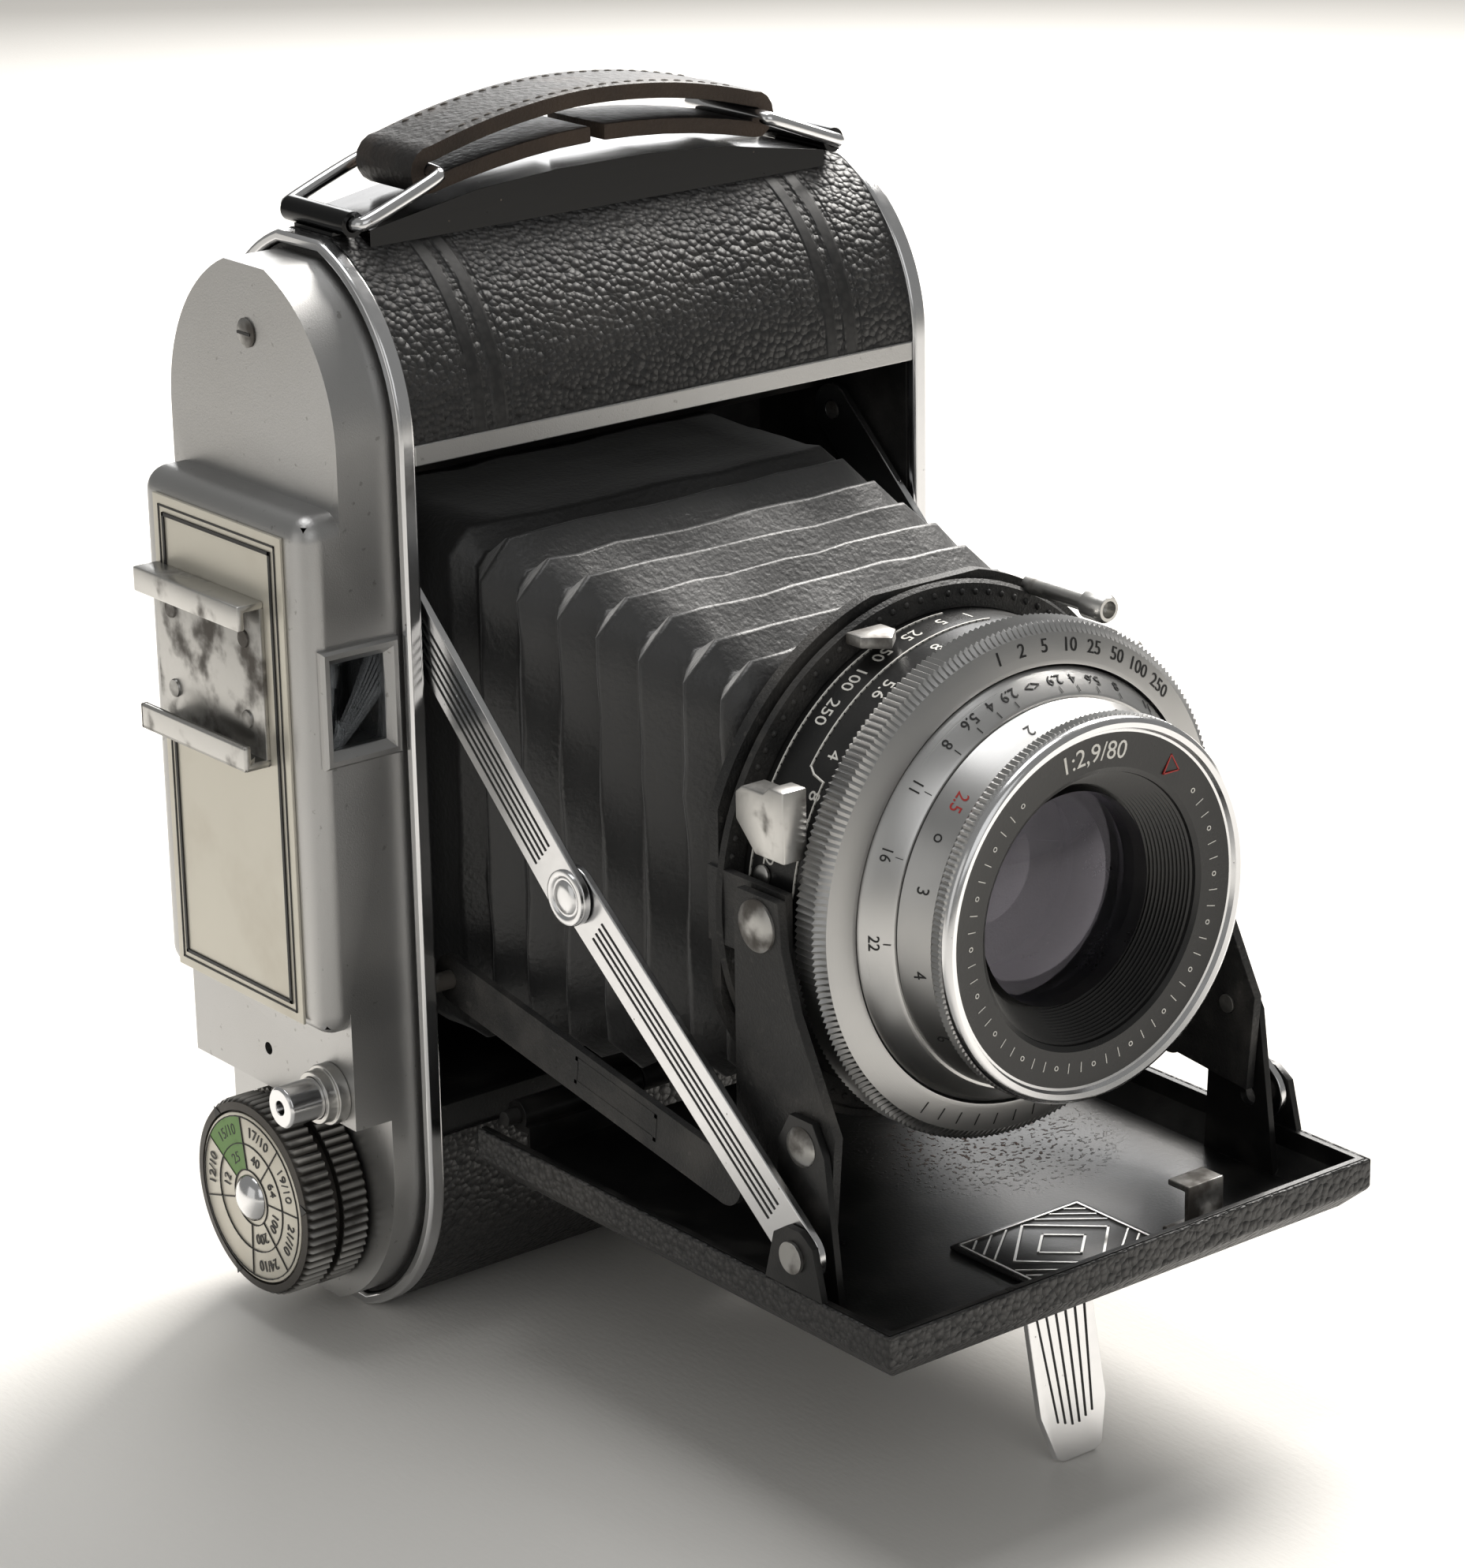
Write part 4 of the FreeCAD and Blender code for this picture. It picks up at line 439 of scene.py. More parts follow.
def softened(node, look, body, width=0.25, segments=2):
    angle, flat = 40, math.radians(0.4)
    bm = bmesh.new()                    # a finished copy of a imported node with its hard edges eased
    bm.from_mesh(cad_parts[node].data)
    bmesh.ops.remove_doubles(bm, verts=bm.verts, dist=2e-6)
    bmesh.ops.dissolve_limit(bm, angle_limit=flat, verts=bm.verts, edges=bm.edges)
    piece = keep(bm, node + "_finished", look, body, (node,), angle, 1, fix=False)
    if width:
        ease = piece.modifiers.new("eased", "BEVEL")
        ease.width, ease.segments, ease.limit_method = width * mm, segments, "ANGLE"
        ease.angle_limit, ease.harden_normals = math.radians(angle), True
    return piece


# Camera, floor and light.
def studio():
    view = dict(azimuth=-38.46, elevation=19.06, roll=-0.98, distance=0.57494, focal=107.98,
                target=(0.00135, -0.03136, 0.06689), shift=(-0.01058, 0.0003))
    room = dict(colour=(0.92, 0.92, 0.9, 1), strength=0.26, floor=3.0)
    az, el, roll = (math.radians(view[key]) for key in ("azimuth", "elevation", "roll"))
    back = Vector((math.sin(az) * math.cos(el), -math.cos(az) * math.cos(el), math.sin(el)))
    right = Vector((0, 0, 1)).cross(back).normalized()
    up = back.cross(right)
    across = right * math.cos(roll) + up * math.sin(roll)
    upward = up * math.cos(roll) - right * math.sin(roll)
    lens = bpy.data.cameras.new("camera")
    lens.lens, lens.sensor_width, lens.clip_start = view["focal"], 36, 0.01
    lens.shift_x, lens.shift_y = view["shift"]
    camera = bpy.data.objects.new("camera", lens)
    camera.matrix_world = Matrix((across, upward, back)).transposed().to_4x4()
    camera.location = Vector(view["target"]) + back * view["distance"]
    bpy.context.collection.objects.link(camera)
    bpy.context.scene.camera = camera

    cloth = Finish("pale floor")
    weave = (cloth.grain(1400, 3, cloth.stretched((1, 0.3, 1)))
             + cloth.grain(1400, 3, cloth.stretched((0.3, 1, 1))))
    cloth.set(Base_Color=cloth.blend(cloth.grain(6, 3), shade(0.80, (1, 0.975, 0.93)),
                                     shade(0.86, (1, 0.98, 0.94))),
              Roughness=0.9)
    cloth.relief(weave, 0.0002, 0.25)
    bm = bmesh.new()
    bmesh.ops.create_grid(bm, x_segments=1, y_segments=1, size=room["floor"])
    mesh = bpy.data.meshes.new("floor")
    bm.to_mesh(mesh)
    bm.free()
    mesh.materials.append(cloth.material)
    floor = bpy.data.objects.new("floor", mesh)
    bpy.context.collection.objects.link(floor)

    lamps = (("window", (0.55, 0.25, 0.62), (0, -0.03, 0.07), 0.38, 11.5, (1, 0.97, 0.93)),
             ("sheen", (0.52, 0.66, 0.36), (0, 0, 0.12), 0.42, 2.0, (1, 1, 1)),
             ("front fill", (-0.35, -0.75, 0.5), (0, -0.03, 0.06), 0.6, 0.7, (1, 1, 1)),
             ("side card", (-0.75, 0.0, 0.25), (-0.04, 0, 0.07), 0.5, 0.35, (1, 0.98, 0.95)),
             ("overhead", (0.0, 0.15, 0.95), (0, -0.02, 0.05), 0.5, 2.6, (1, 1, 1)))
    for name, spot, aim, size, power, colour in lamps:
        lamp = bpy.data.lights.new(name, "AREA")
        lamp.size, lamp.energy, lamp.color = size, power, colour
        holder = bpy.data.objects.new(name, lamp)
        holder.location = spot
        holder.rotation_euler = (Vector(aim) - Vector(spot)).to_track_quat("-Z", "Y").to_euler()
        bpy.context.collection.objects.link(holder)
    world = bpy.data.worlds.new("room")
    bpy.context.scene.world = world
    world.use_nodes = True
    sky = world.node_tree.nodes["Background"].inputs
    sky[0].default_value, sky[1].default_value = room["colour"], room["strength"]
    bpy.context.scene.view_settings.view_transform = "Standard"
    print("studio ready, lamps:", len(lamps))


studio()


# The casing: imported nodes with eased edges.
def casing():
    plain = dict(                       # node: its look and the width of its eased edges
        body_shell=("enamel", 0.15), film_gate=("enamel", 0), upper_leather=("drumLeather", 0),
        lower_leather=("leather", 0), trim_strip=("aluminium", 0.2), rim_winding_side=("chrome", 0.5),
        rim_base_side=("chrome", 0.5), base_cover=("satin", 0.5), tripod_bush=("nickel", 0.2),
        top_housing=("satin", 0.6), name_plate=("cream", 0.08),
        release_collar=("pale", 0.15), strap_mount=("barChrome", 0.35), bed_hinge=("enamel", 0.15))
    for node, (look, width) in plain.items():
        softened(node, look, "body", width, 3 if width > 0.3 else 2)
    moving = (("back_door", "leather", "door"), ("pressure_plate", "enamel", "door"),
              ("window_slide", "enamel", "window_cover"), ("back_latch", "chrome", "latch"),
              ("window_glass", "red", "door"), ("film_roller_upper", "nickel", "roller_upper"),
              ("film_roller_lower", "nickel", "roller_lower"), ("takeup_spool", "enamel", "takeup"),
              ("supply_spool", "enamel", "supply"), ("bed_release_button", "chrome", "bed_button"),
              ("release_button", "chrome", "release"), ("body_pins", "nickel", "body"))
    for node, look, body in moving:
        softened(node, look, body, 0.12)


def bedParts():
    parts = (("bed_tray", "tray", "bed", 0.3, 3), ("bed_leather", "leather", "bed", 0.5, 3),
             ("bed_hook", "nickel", "bed", 0.2, 2), ("bed_rivets", "brass", "bed", 0.2, 2),
             ("kick_foot", "chrome", "foot", 0.15, 2), ("lens_brackets", "sandy", "brackets", 0.25, 2),
             ("black_links", "sandy", "links", 0.2, 2),
             ("lower_struts", "scratched", "lower_strut_pair", 0.2, 2),
             ("upper_struts", "scratched", "upper_strut_pair", 0.2, 2),
             ("lens_standard", "sandy", "lens", 0.3, 2),
             ("shutter_housing", "gloss", "lens", 0.3, 2), ("iris_blades", "enamel", "lens", 0, 2),
             ("rear_cell", "enamel", "lens", 0.1, 2))
    for node, look, body, width, segments in parts:
        softened(node, look, body, width, segments)


# Bellows: seven folds of leathercloth that taper to the lens standard.
def bellowsFolds():
    sizes = dict(rearAcross=31.0, rearUp=33.4, noseAcross=25.2, noseUp=25.6, rear=11.0, mouth=-17.0,
                 nose=-64.2,
                 folds=7, depth=3.4, ridgeCorner=4.6, valleyCorner=1.4, eased=0.55, cloth=0.45,
                 unevenness=0.7)
    bm = bmesh.new()

    def loop(y, across, up, corner):
        spots = [(across, up - corner), (across - corner, up), (-across + corner, up),
                 (-across, up - corner),
                 (-across, -up + corner), (-across + corner, -up), (across - corner, -up),
                 (across, -up + corner)]
        verts = [bm.verts.new((x, y, lensCentre.z + z)) for x, z in spots]
        return [bm.edges.new(pair) for pair in zip(verts, verts[1:] + verts[:1])]

    stops = []
    length = sizes["mouth"] - sizes["nose"]
    for step in range(2 * sizes["folds"] + 1):
        share = step / (2 * sizes["folds"])
        ridge = step % 2 == 1
        less = 0 if ridge else sizes["depth"]
        across = sizes["rearAcross"] + (sizes["noseAcross"] - sizes["rearAcross"]) * share - less
        up = sizes["rearUp"] + (sizes["noseUp"] - sizes["rearUp"]) * share - less
        wobble = (dice.random() - 0.5) * sizes["unevenness"]
        stops.append((sizes["mouth"] - length * share + wobble * ridge, across + wobble * 0.5,
                      up + wobble * 0.4,
                      sizes["ridgeCorner"] if ridge else sizes["valleyCorner"]))
    stops.insert(0, (sizes["rear"], sizes["rearAcross"] - 1, sizes["rearUp"] - 1, 2))
    stops.insert(1, (sizes["mouth"] + 2.4, sizes["rearAcross"] - 0.6, sizes["rearUp"] - 0.6, 3.2))
    loops = [loop(*stop) for stop in stops]
    for near, far in zip(loops, loops[1:]):
        bmesh.ops.bridge_loops(bm, edges=near + far)
    ridges = [edge for edge in bm.edges if abs(edge.verts[0].co.y - edge.verts[1].co.y) < 0.01]
    bmesh.ops.bevel(bm, geom=ridges, offset=sizes["eased"], segments=3, affect="EDGES", profile=0.5,
                    material=-1)
    longways = [edge for edge in bm.edges if edge.calc_length() > 12]
    bmesh.ops.subdivide_edges(bm, edges=longways, cuts=9, use_grid_fill=True)
    for vert in bm.verts:               # the cloth is never quite flat
        sway = noise.noise_vector(vert.co * 0.11) * 0.55 + noise.noise_vector(vert.co * 0.45) * 0.18
        vert.co += Vector((sway.x, sway.y, sway.z))
    piece = keep(bm, "bellows_folds", "bellows", "body", ("bellows",), 50)
    wall = piece.modifiers.new("cloth", "SOLIDIFY")
    wall.thickness, wall.offset = sizes["cloth"] * mm, -1
    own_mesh(piece)


# Hand strap: one long band folded round both wire loops.
def handStrap():
    sizes = dict(half=24.4, wireHeight=142.7, wire=0.95, thick=2.0, crest=3.6, wide=11.6, tuck=23.4,
                 stitchGap=1.9, stitchInset=1.3, stitch=(0.62, 0.2, 0.14), wireRadius=0.88)
    bm = bmesh.new()
    middle = []                         # the band's centre line, in x and z
    lift = sizes["wire"] + sizes["thick"] + 0.1
    base = sizes["wireHeight"]

    def rise(x):                        # how far the band arches above its ends
        return sizes["crest"] * (1 - (x / sizes["half"]) ** 2) if abs(x) < sizes["half"] else 0

    for step in range(6):
        x = -sizes["half"] + sizes["tuck"] * (1 - step / 5)
        middle.append((x, base - lift + rise(x) * 0.8 + 0.25))
    for step in range(1, 8):
        turn = math.radians(270 - 180 * step / 8)
        middle.append((-sizes["half"] + lift * math.cos(turn), base + lift * math.sin(turn)))
    for step in range(25):
        x = sizes["half"] * (step / 12 - 1)
        middle.append((x, base + lift + rise(x)))
    for step in range(1, 8):
        turn = math.radians(90 - 180 * step / 8)
        middle.append((sizes["half"] + lift * math.cos(turn), base + lift * math.sin(turn)))
    for step in range(6):
        x = sizes["half"] - sizes["tuck"] * step / 5
        middle.append((x, base - lift + rise(x) * 0.8 + 0.25))
    half = sizes["wide"] / 2
    verts = []
    for x, z in middle:
        sway = noise.noise(Vector((x * 0.09, 3, z * 0.05))) * 0.35
        verts.append(bm.verts.new((x, -half + sway, z)))
    edges = [bm.edges.new(pair) for pair in zip(verts, verts[1:])]
    for strip in range(4):              # drawn out sideways in four strips
        grown = bmesh.ops.extrude_edge_only(bm, edges=edges)["geom"]
        edges = [part for part in grown if isinstance(part, bmesh.types.BMEdge)]
        bmesh.ops.translate(bm, verts=[part for part in grown if isinstance(part, bmesh.types.BMVert)],
                            vec=(0, half / 2, 0))
    bmesh.ops.recalc_face_normals(bm, faces=bm.faces)
    bmesh.ops.solidify(bm, geom=bm.faces, thickness=sizes["thick"])
    bmesh.ops.recalc_face_normals(bm, faces=bm.faces)
    for face in bm.faces:
        if abs(face.normal.y) > 0.8 or abs(face.calc_center_median().x) < 9.5 and abs(face.normal.x) > 0.8:
            face.material_index = 1
    rim = [edge for edge in bm.edges if len(edge.link_faces) == 2
           and {face.material_index for face in edge.link_faces} == {0, 1}]
    bmesh.ops.bevel(bm, geom=rim, offset=0.25, segments=2, affect="EDGES", profile=0.5, material=-1)
    keep(bm, "hand_strap", ("strap", "rawEdge"), "body", ("leather_strap",), 40)

    bm = bmesh.new()                    # stitches beside both edges
    for side in (-1, 1):
        for step in range(-11, 12):
            x = step * sizes["stitchGap"]
            z = base + lift + rise(x) + 0.03
            slope = math.atan2(rise(x + 0.5) - rise(x - 0.5), 1)
            spot = Matrix.Translation((x, side * (half - sizes["stitchInset"]),
                                       z)) @ Matrix.Rotation(-slope, 4, "Y")
            bmesh.ops.create_uvsphere(bm, u_segments=6, v_segments=4, radius=1,
                                      matrix=spot @ Matrix.Diagonal((*sizes["stitch"], 1)))
    keep(bm, "strap_stitches", "thread", "body", sharp=60, fix=False)

    bm = bmesh.new()                    # wire loops through the lugs
    for side in (-1, 1):
        path = [(36.4, -3, 138.1), (36.4, -7.6, 138.1), (35.4, -8.2, 138.5), (25.6, -8.2, 142.25),
                (24.4, -7.4, 142.7),
                (24.4, 7.4, 142.7), (25.6, 8.2, 142.25), (35.4, 8.2, 138.5), (36.4, 7.6, 138.1),
                (36.4, 3, 138.1)]
        tube(bm, [(side * x, y, z) for x, y, z in path], sizes["wireRadius"])
    keep(bm, "strap_wire_loops", "chrome", "body", ("strap_loops",), 60)


def tube(bm, path, radius):             # a round wire along a smooth line
    curve = bpy.data.curves.new("wire", "CURVE")
    curve.dimensions, curve.bevel_depth, curve.bevel_resolution, curve.use_fill_caps = "3D", radius, 4, True
    line = curve.splines.new("NURBS")
    line.points.add(len(path) - 1)
    for point, spot in zip(line.points, path):
        point.co = (*spot, 1)
    line.use_endpoint_u, line.order_u, line.resolution_u = True, 3, 6
    holder = bpy.data.objects.new("wire", curve)
    bpy.context.collection.objects.link(holder)
    bpy.context.view_layer.update()
    mesh = bpy.data.meshes.new_from_object(holder.evaluated_get(bpy.context.evaluated_depsgraph_get()))
    bm.from_mesh(mesh)
    bpy.data.objects.remove(holder)
    bpy.data.curves.remove(curve)
    bpy.data.meshes.remove(mesh)


# Lens and shutter. Each outline is (distance ahead of the lens centre, radius).
def shutter():
    lens = dict(flange=32.2, dots=92, dotRing=30.6, dot=0.42, speedTeeth=236, speedDepth=0.42,
                gripTeeth=200,
                gripDepth=0.28, leaves=5, leafGap=0.12, leafThick=0.1)
    bm = bmesh.new()                    # flange ring with its row of raised dots
    lathe(bm, [(46.3, 27), (46.3, lens["flange"] - 0.8), (46.9, lens["flange"] - 0.2),
               (47.5, lens["flange"] - 0.6),
               (47.8, 29.2), (47.8, 28.9)], lensCentre, forward, 128)
    for step in range(lens["dots"]):
        turn = 2 * math.pi * step / lens["dots"]
        spot = lensCentre + forward * 47.55 + Vector((math.cos(turn), 0, math.sin(turn))) * lens["dotRing"]
        bmesh.ops.create_uvsphere(bm, u_segments=8, v_segments=6, radius=lens["dot"],
                                  matrix=Matrix.Translation(spot))
    keep(bm, "flange_ring", "sandy", "lens", fix=False)

    bm = bmesh.new()                    # coarse knurled speed ring with a sloping face
    teeth = lens["speedTeeth"]
    lathe(bm, [(58.8, 25.9), (58.8, 30.1), (59.3, 30.7), (62.2, 30.7), (62.6, 30.2), (63.2, 29.4),
               (64.1, 26.4),
               (64.1, 25.9)], lensCentre, forward, teeth * 2)
    knurl(bm, lensCentre, forward, teeth * 2, 29.9, lens["speedDepth"])
    keep(bm, "speed_ring_knurled", "spunDark", "speeds", ("speed_ring",), 30)

    bm = bmesh.new()                    # pale depth of field band
    lathe(bm, [(58.7, 17.25), (58.7, 25.6), (63.9, 25.6), (64.4, 25.3), (67.1, 23.5), (67.4, 23.1),
               (67.4, 17.25)],
          lensCentre, forward, 160)
    keep(bm, "depth_of_field_band", "spun", "lens", ("depth_band",), 30)

    bm = bmesh.new()                    # focusing cone and its fine knurled grip
    teeth = lens["gripTeeth"]
    lathe(bm, [(67.5, 17.2), (67.5, 22.8), (67.9, 22.7), (71.6, 20.9), (72.1, 21.0), (72.3, 21.6),
               (72.6, 22.3),
               (73.0, 22.7), (74.2, 22.7), (74.5, 22.3), (74.5, 19.4), (73.2, 19.4), (73.2, 17.2)],
          lensCentre, forward, teeth * 2)
    knurl(bm, lensCentre, forward, teeth * 2, 22.5, lens["gripDepth"], 72.7, 74.4)
    keep(bm, "focusing_grip", "spunDark", "focus", ("focus_ring",), 30)

    bm = bmesh.new()                    # bright bezel
    lathe(bm, [(74.6, 20.6), (74.6, 22.5), (75.1, 22.55), (75.55, 22.3), (75.75, 21.9), (75.6, 21.3),
               (75.1, 21.0),
               (75.0, 20.6)], lensCentre, forward, 192)
    keep(bm, "front_bezel", "chrome", "focus", ("front_cell",), 40)

    bm = bmesh.new()                    # black name ring and the threaded throat behind it
    throat = [(73.3, 17.15), (74.55, 20.5), (75.05, 20.7), (75.0, 20.4), (74.75, 16.6), (74.4, 16.0)]
    depth, radius = 74.0, 15.9
    while radius > 13.1:                # fine steps of the inner thread
        throat += [(depth, radius), (depth - 0.12, radius - 0.3)]
        depth, radius = depth - 0.42, radius - 0.22
    throat += [(70.0, 12.6), (63.0, 12.4), (56.0, 12.4), (56.0, 17.05), (73.2, 17.05)]
    lathe(bm, throat, lensCentre, forward, 144)
    keep(bm, "name_ring", "gloss", "focus", sharp=25)

    bm = bmesh.new()                    # front element, a true lens shape
    bow = [(70.6 - 12.5 ** 2 / 60 + (12.5 ** 2 - r * r) / 60, r)
           for r in (12.55, 11, 9.4, 7.8, 6.2, 4.6, 3, 1.5, 0)]
    back = [(65.5 + r * r / 160, r) for r in (0, 3, 6, 9, 12.3)]
    lathe(bm, bow + back, lensCentre, forward, 96)
    keep(bm, "front_element", "glass", "focus", ("front_glass",), 45)

    bm = bmesh.new()                    # second element, deeper and flatter
    bow = [(62.2 - r * r / 46, r) for r in (10.6, 8.8, 7, 5.2, 3.4, 1.7, 0)]
    lathe(bm, bow + [(58.6, 0), (58.6, 10.6)], lensCentre, forward, 72)
    keep(bm, "middle_element", "glass", "focus", sharp=45)

    bm = bmesh.new()                    # five closed leaves in front of the shutter
    for step in range(lens["leaves"]):
        turn = Matrix.Rotation(2 * math.pi * step / lens["leaves"], 4, "Y")
        outline = [(-10.5, 7.6), (-3.2, -1.2), (3.4, 1.4), (9.4, 8.6), (4.6, 11.2), (-4.6, 11.4)]
        leafCentre = lensCentre + forward * (55.1 + lens["leafGap"] * step)
        verts = [bm.verts.new(leafCentre + turn @ Vector((x, 0, z))) for x, z in outline]
        leaf = bm.faces.new(verts)
        grown = bmesh.ops.extrude_face_region(bm, geom=[leaf])["geom"]
        bmesh.ops.translate(bm, verts=[part for part in grown if isinstance(part, bmesh.types.BMVert)],
                            vec=forward * lens["leafThick"])
    keep(bm, "shutter_leaves", "enamel", "lens")


def plateOf(bm, outline, sweep):        # a flat outline drawn out along one direction, edges eased
    flat = bm.faces.new([bm.verts.new(spot) for spot in outline])
    grown = bmesh.ops.extrude_face_region(bm, geom=[flat])["geom"]
    bmesh.ops.translate(bm, verts=[part for part in grown if isinstance(part, bmesh.types.BMVert)],
                        vec=sweep)
    bmesh.ops.bevel(bm, geom=list(bm.edges), offset=0.22, segments=2, affect="EDGES", profile=0.5,
                    material=-1)


def levers():
    wedge = dict(side=-31.4, thick=3.4, notch=0.9)
    low, high = corners("cocking_lever")
    bm = bmesh.new()                    # cocking lever: a wedge with a notch for the finger
    outline = [(low.y, low.z), (low.y, high.z), (low.y + 2.6, high.z),
               (low.y + 3.6, high.z - wedge["notch"]),
               (high.y - 1.2, high.z - wedge["notch"]), (high.y, high.z - 1.8), (high.y, low.z + 3.4),
               (high.y - 3.4, low.z)]
    plateOf(bm, [(wedge["side"], y, z) for y, z in outline], (wedge["thick"], 0, 0))
    keep(bm, "cocking_wedge", "pale", "cocking", ("cocking_lever",), 30)
    low, high = corners("aperture_lever")
    bm = bmesh.new()                    # aperture lever: an arrow that points at the scale
    middle = (low.x + high.x) / 2
    outline = [(low.x, high.y, low.z), (high.x, high.y, low.z), (high.x, low.y + 2.4, low.z),
               (middle, low.y, low.z),
               (low.x, low.y + 2.4, low.z)]
    plateOf(bm, outline, (0, 0, 1.4))
    keep(bm, "aperture_arrow", "nickel", "aperture", ("aperture_lever",), 30)
    # angle round the lens, radius, from, to, knob radius, teeth, and the body each rides on
    posts = (("sync_socket", 62, 32.6, 46.5, 60.4, 1.7, 24, "lens", "chrome"),
             ("release_lever", 44, 30.9, 53.2, 57.6, 1.6, 20, "release_arm", "chrome"))
    for node, angle, radius, start, stop, wide, teeth, body, slot in posts:
        turn = math.radians(angle)
        spot = lensCentre + Vector((math.cos(turn), 0, math.sin(turn))) * radius
        bm = bmesh.new()
        lathe(bm, [(start, 0), (start, wide * 0.62), (stop - 3.6, wide * 0.62), (stop - 3.4, wide),
                   (stop - 0.5, wide),
                   (stop, wide - 0.3), (stop, wide * 0.6), (stop - 1.2, wide * 0.5), (stop - 1.2, 0)], spot,
              forward,
              teeth * 2)
        knurl(bm, spot, forward, teeth * 2, wide - 0.1, 0.14, stop - 3.3, stop - 0.6)
        keep(bm, node + "_turned", "pale", body, (node,), 40)
    bm = bmesh.new()                    # slotted screw that holds the scale
    turn = math.radians(171)
    out = Vector((math.cos(turn), 0, math.sin(turn)))
    spot = lensCentre + forward * 51.2 + out * 28.7
    lathe(bm, [(0, 0), (0, 1.3), (0.35, 1.3), (0.55, 0.9), (0.6, 0)], spot, out, 24)
    keep(bm, "scale_screw", "pale", "lens")


def dials():
    bm = bmesh.new()                    # speeds on the ring's sloping face
    for word, angle in zip(("1", "2", "5", "10", "25", "50", "100", "250"),
                           (99, 92, 85, 77, 69, 61, 53, 44)):
        letters(bm, word, 2.3, roundLens(angle, 63.66, 28.0, 73))
    for angle in range(236, 302, 6):
        letters(bm, "|", 1.7, roundLens(angle, 63.66, 28.0, 73))
    keep(bm, "speed_numbers", "black", "speeds", fix=False)

    bm = bmesh.new()                    # apertures on the depth of field band
    stops = (("2.9", 8), ("4", 14.5), ("5.6", 22), ("8", 31), ("11", 45), ("16", 64), ("22", 88))
    for side in (-1, 1):
        for word, away in stops:
            letters(bm, word, 1.9, roundLens(93 + side * away, 65.55, 24.62, 34, True))
            letters(bm, "|", 1.0, roundLens(93 + side * away, 66.95, 23.72, 34, True))
    letters(bm, "<>", 2.0, roundLens(93, 65.6, 24.58, 34, True))
    keep(bm, "aperture_numbers", "black", "lens", fix=False)

    bm = bmesh.new()                    # distances on the focusing cone
    for word, angle in (("1.5", 66), ("2", 104), ("3", 164), ("4", 190), ("6", 214), ("10", 236),
                        ("o", 148)):
        letters(bm, word, 2.1, roundLens(angle, 69.7, 21.85, 26, True))
    keep(bm, "distance_numbers", "black", "focus", fix=False)
    bm = bmesh.new()
    for word, angle in (("2.5", 136), ("12", 252), ("20", 268)):
        letters(bm, word, 2.1, roundLens(angle, 69.7, 21.85, 26, True))
    keep(bm, "distance_numbers_red", "redInk", "focus", fix=False)

    bm = bmesh.new()                    # white figures on the name ring
    letters(bm, "1:2,9/80", 3.1, roundLens(91, 74.9, 18.55, 94))
    for angle in range(126, 400, 6):
        letters(bm, "|" if angle % 18 else "o", 1.3, roundLens(angle, 74.9, 18.55, 94))
    keep(bm, "name_ring_figures", "white", "focus", fix=False)
    bm = bmesh.new()                    # red index triangle
    turn = math.radians(52)
    spot = lensCentre + forward * 74.92 + Vector((math.cos(turn), 0, math.sin(turn))) * 18.6
    frameLines(bm, [spot + Vector((0, 0, 1.3)), spot + Vector((-1.2, 0, -0.8)),
                    spot + Vector((1.2, 0, -0.8))], 0.14)
    keep(bm, "index_triangle", "redInk", "focus", fix=False)

    bm = bmesh.new()                    # white scales on the shutter's side
    for word, angle, along in (("25", 103, 51.0), ("50", 112, 51.0), ("100", 121, 51.0), ("250", 131, 51.0),
                               ("1", 86, 51), ("5", 94, 51), ("4", 140, 56.0), ("5.6", 121, 56.0),
                               ("8", 104, 56), ("2.9", 158, 55.6), ("8", 150, 56.0), ("e2", 166, 51.6)):
        letters(bm, word, 2.5, roundLens(angle, along, 28.83, 0, True))
    for first, last, along in ((84, 144, 53.6), (148, 172, 56.6), (90, 174, 48.9)):
        arc = [lensCentre + forward * along + Vector((math.cos(math.radians(a)), 0,
                                                      math.sin(math.radians(a)))) * 28.86
               for a in range(first, last + 1, 2)]
        frameLines(bm, arc, 0.2, False)

    def onDrum(angle, along):
        return roundLens(angle, along, 28.86, 0, True)(0, 0, 0)

    frameLines(bm, [onDrum(144, 53.6), onDrum(145.5, 54.6), onDrum(146.5, 56.6), onDrum(148, 56.6)], 0.2,
               False)
    frameLines(bm, [onDrum(172, 56.6), onDrum(174, 56.4), onDrum(174, 48.9)], 0.2, False)
    keep(bm, "shutter_scale", "white", "lens", fix=False)


def frameLines(bm, spots, width, closed=True):      # thin square rods from point to point
    pairs = list(zip(spots, spots[1:])) + ([(spots[-1], spots[0])] if closed else [])
    for start, stop in pairs:
        start, stop = Vector(start), Vector(stop)
        way = stop - start
        turn = way.to_track_quat("X", "Z").to_matrix().to_4x4()
        stretch = Matrix.Diagonal((way.length + width, width, width, 1))
        place = Matrix.Translation((start + stop) / 2) @ turn @ stretch
        bmesh.ops.create_cube(bm, size=1, matrix=place)


# Top housing: knob, film speed disc, finder and plate.
knobCentre, outward = Vector((0, 0, 17.2)), Vector((-1, 0, 0))


# A mapping onto the flat face of the winding knob, letters' tops outwards.
def onDisc(angle, radius, along):
    turn = math.radians(angle)

    def place(x, y, z):
        bend = turn - x / radius
        return (knobCentre + outward * (along + z)
                + Vector((0, -math.cos(bend), math.sin(bend))) * (radius + y))
    return place


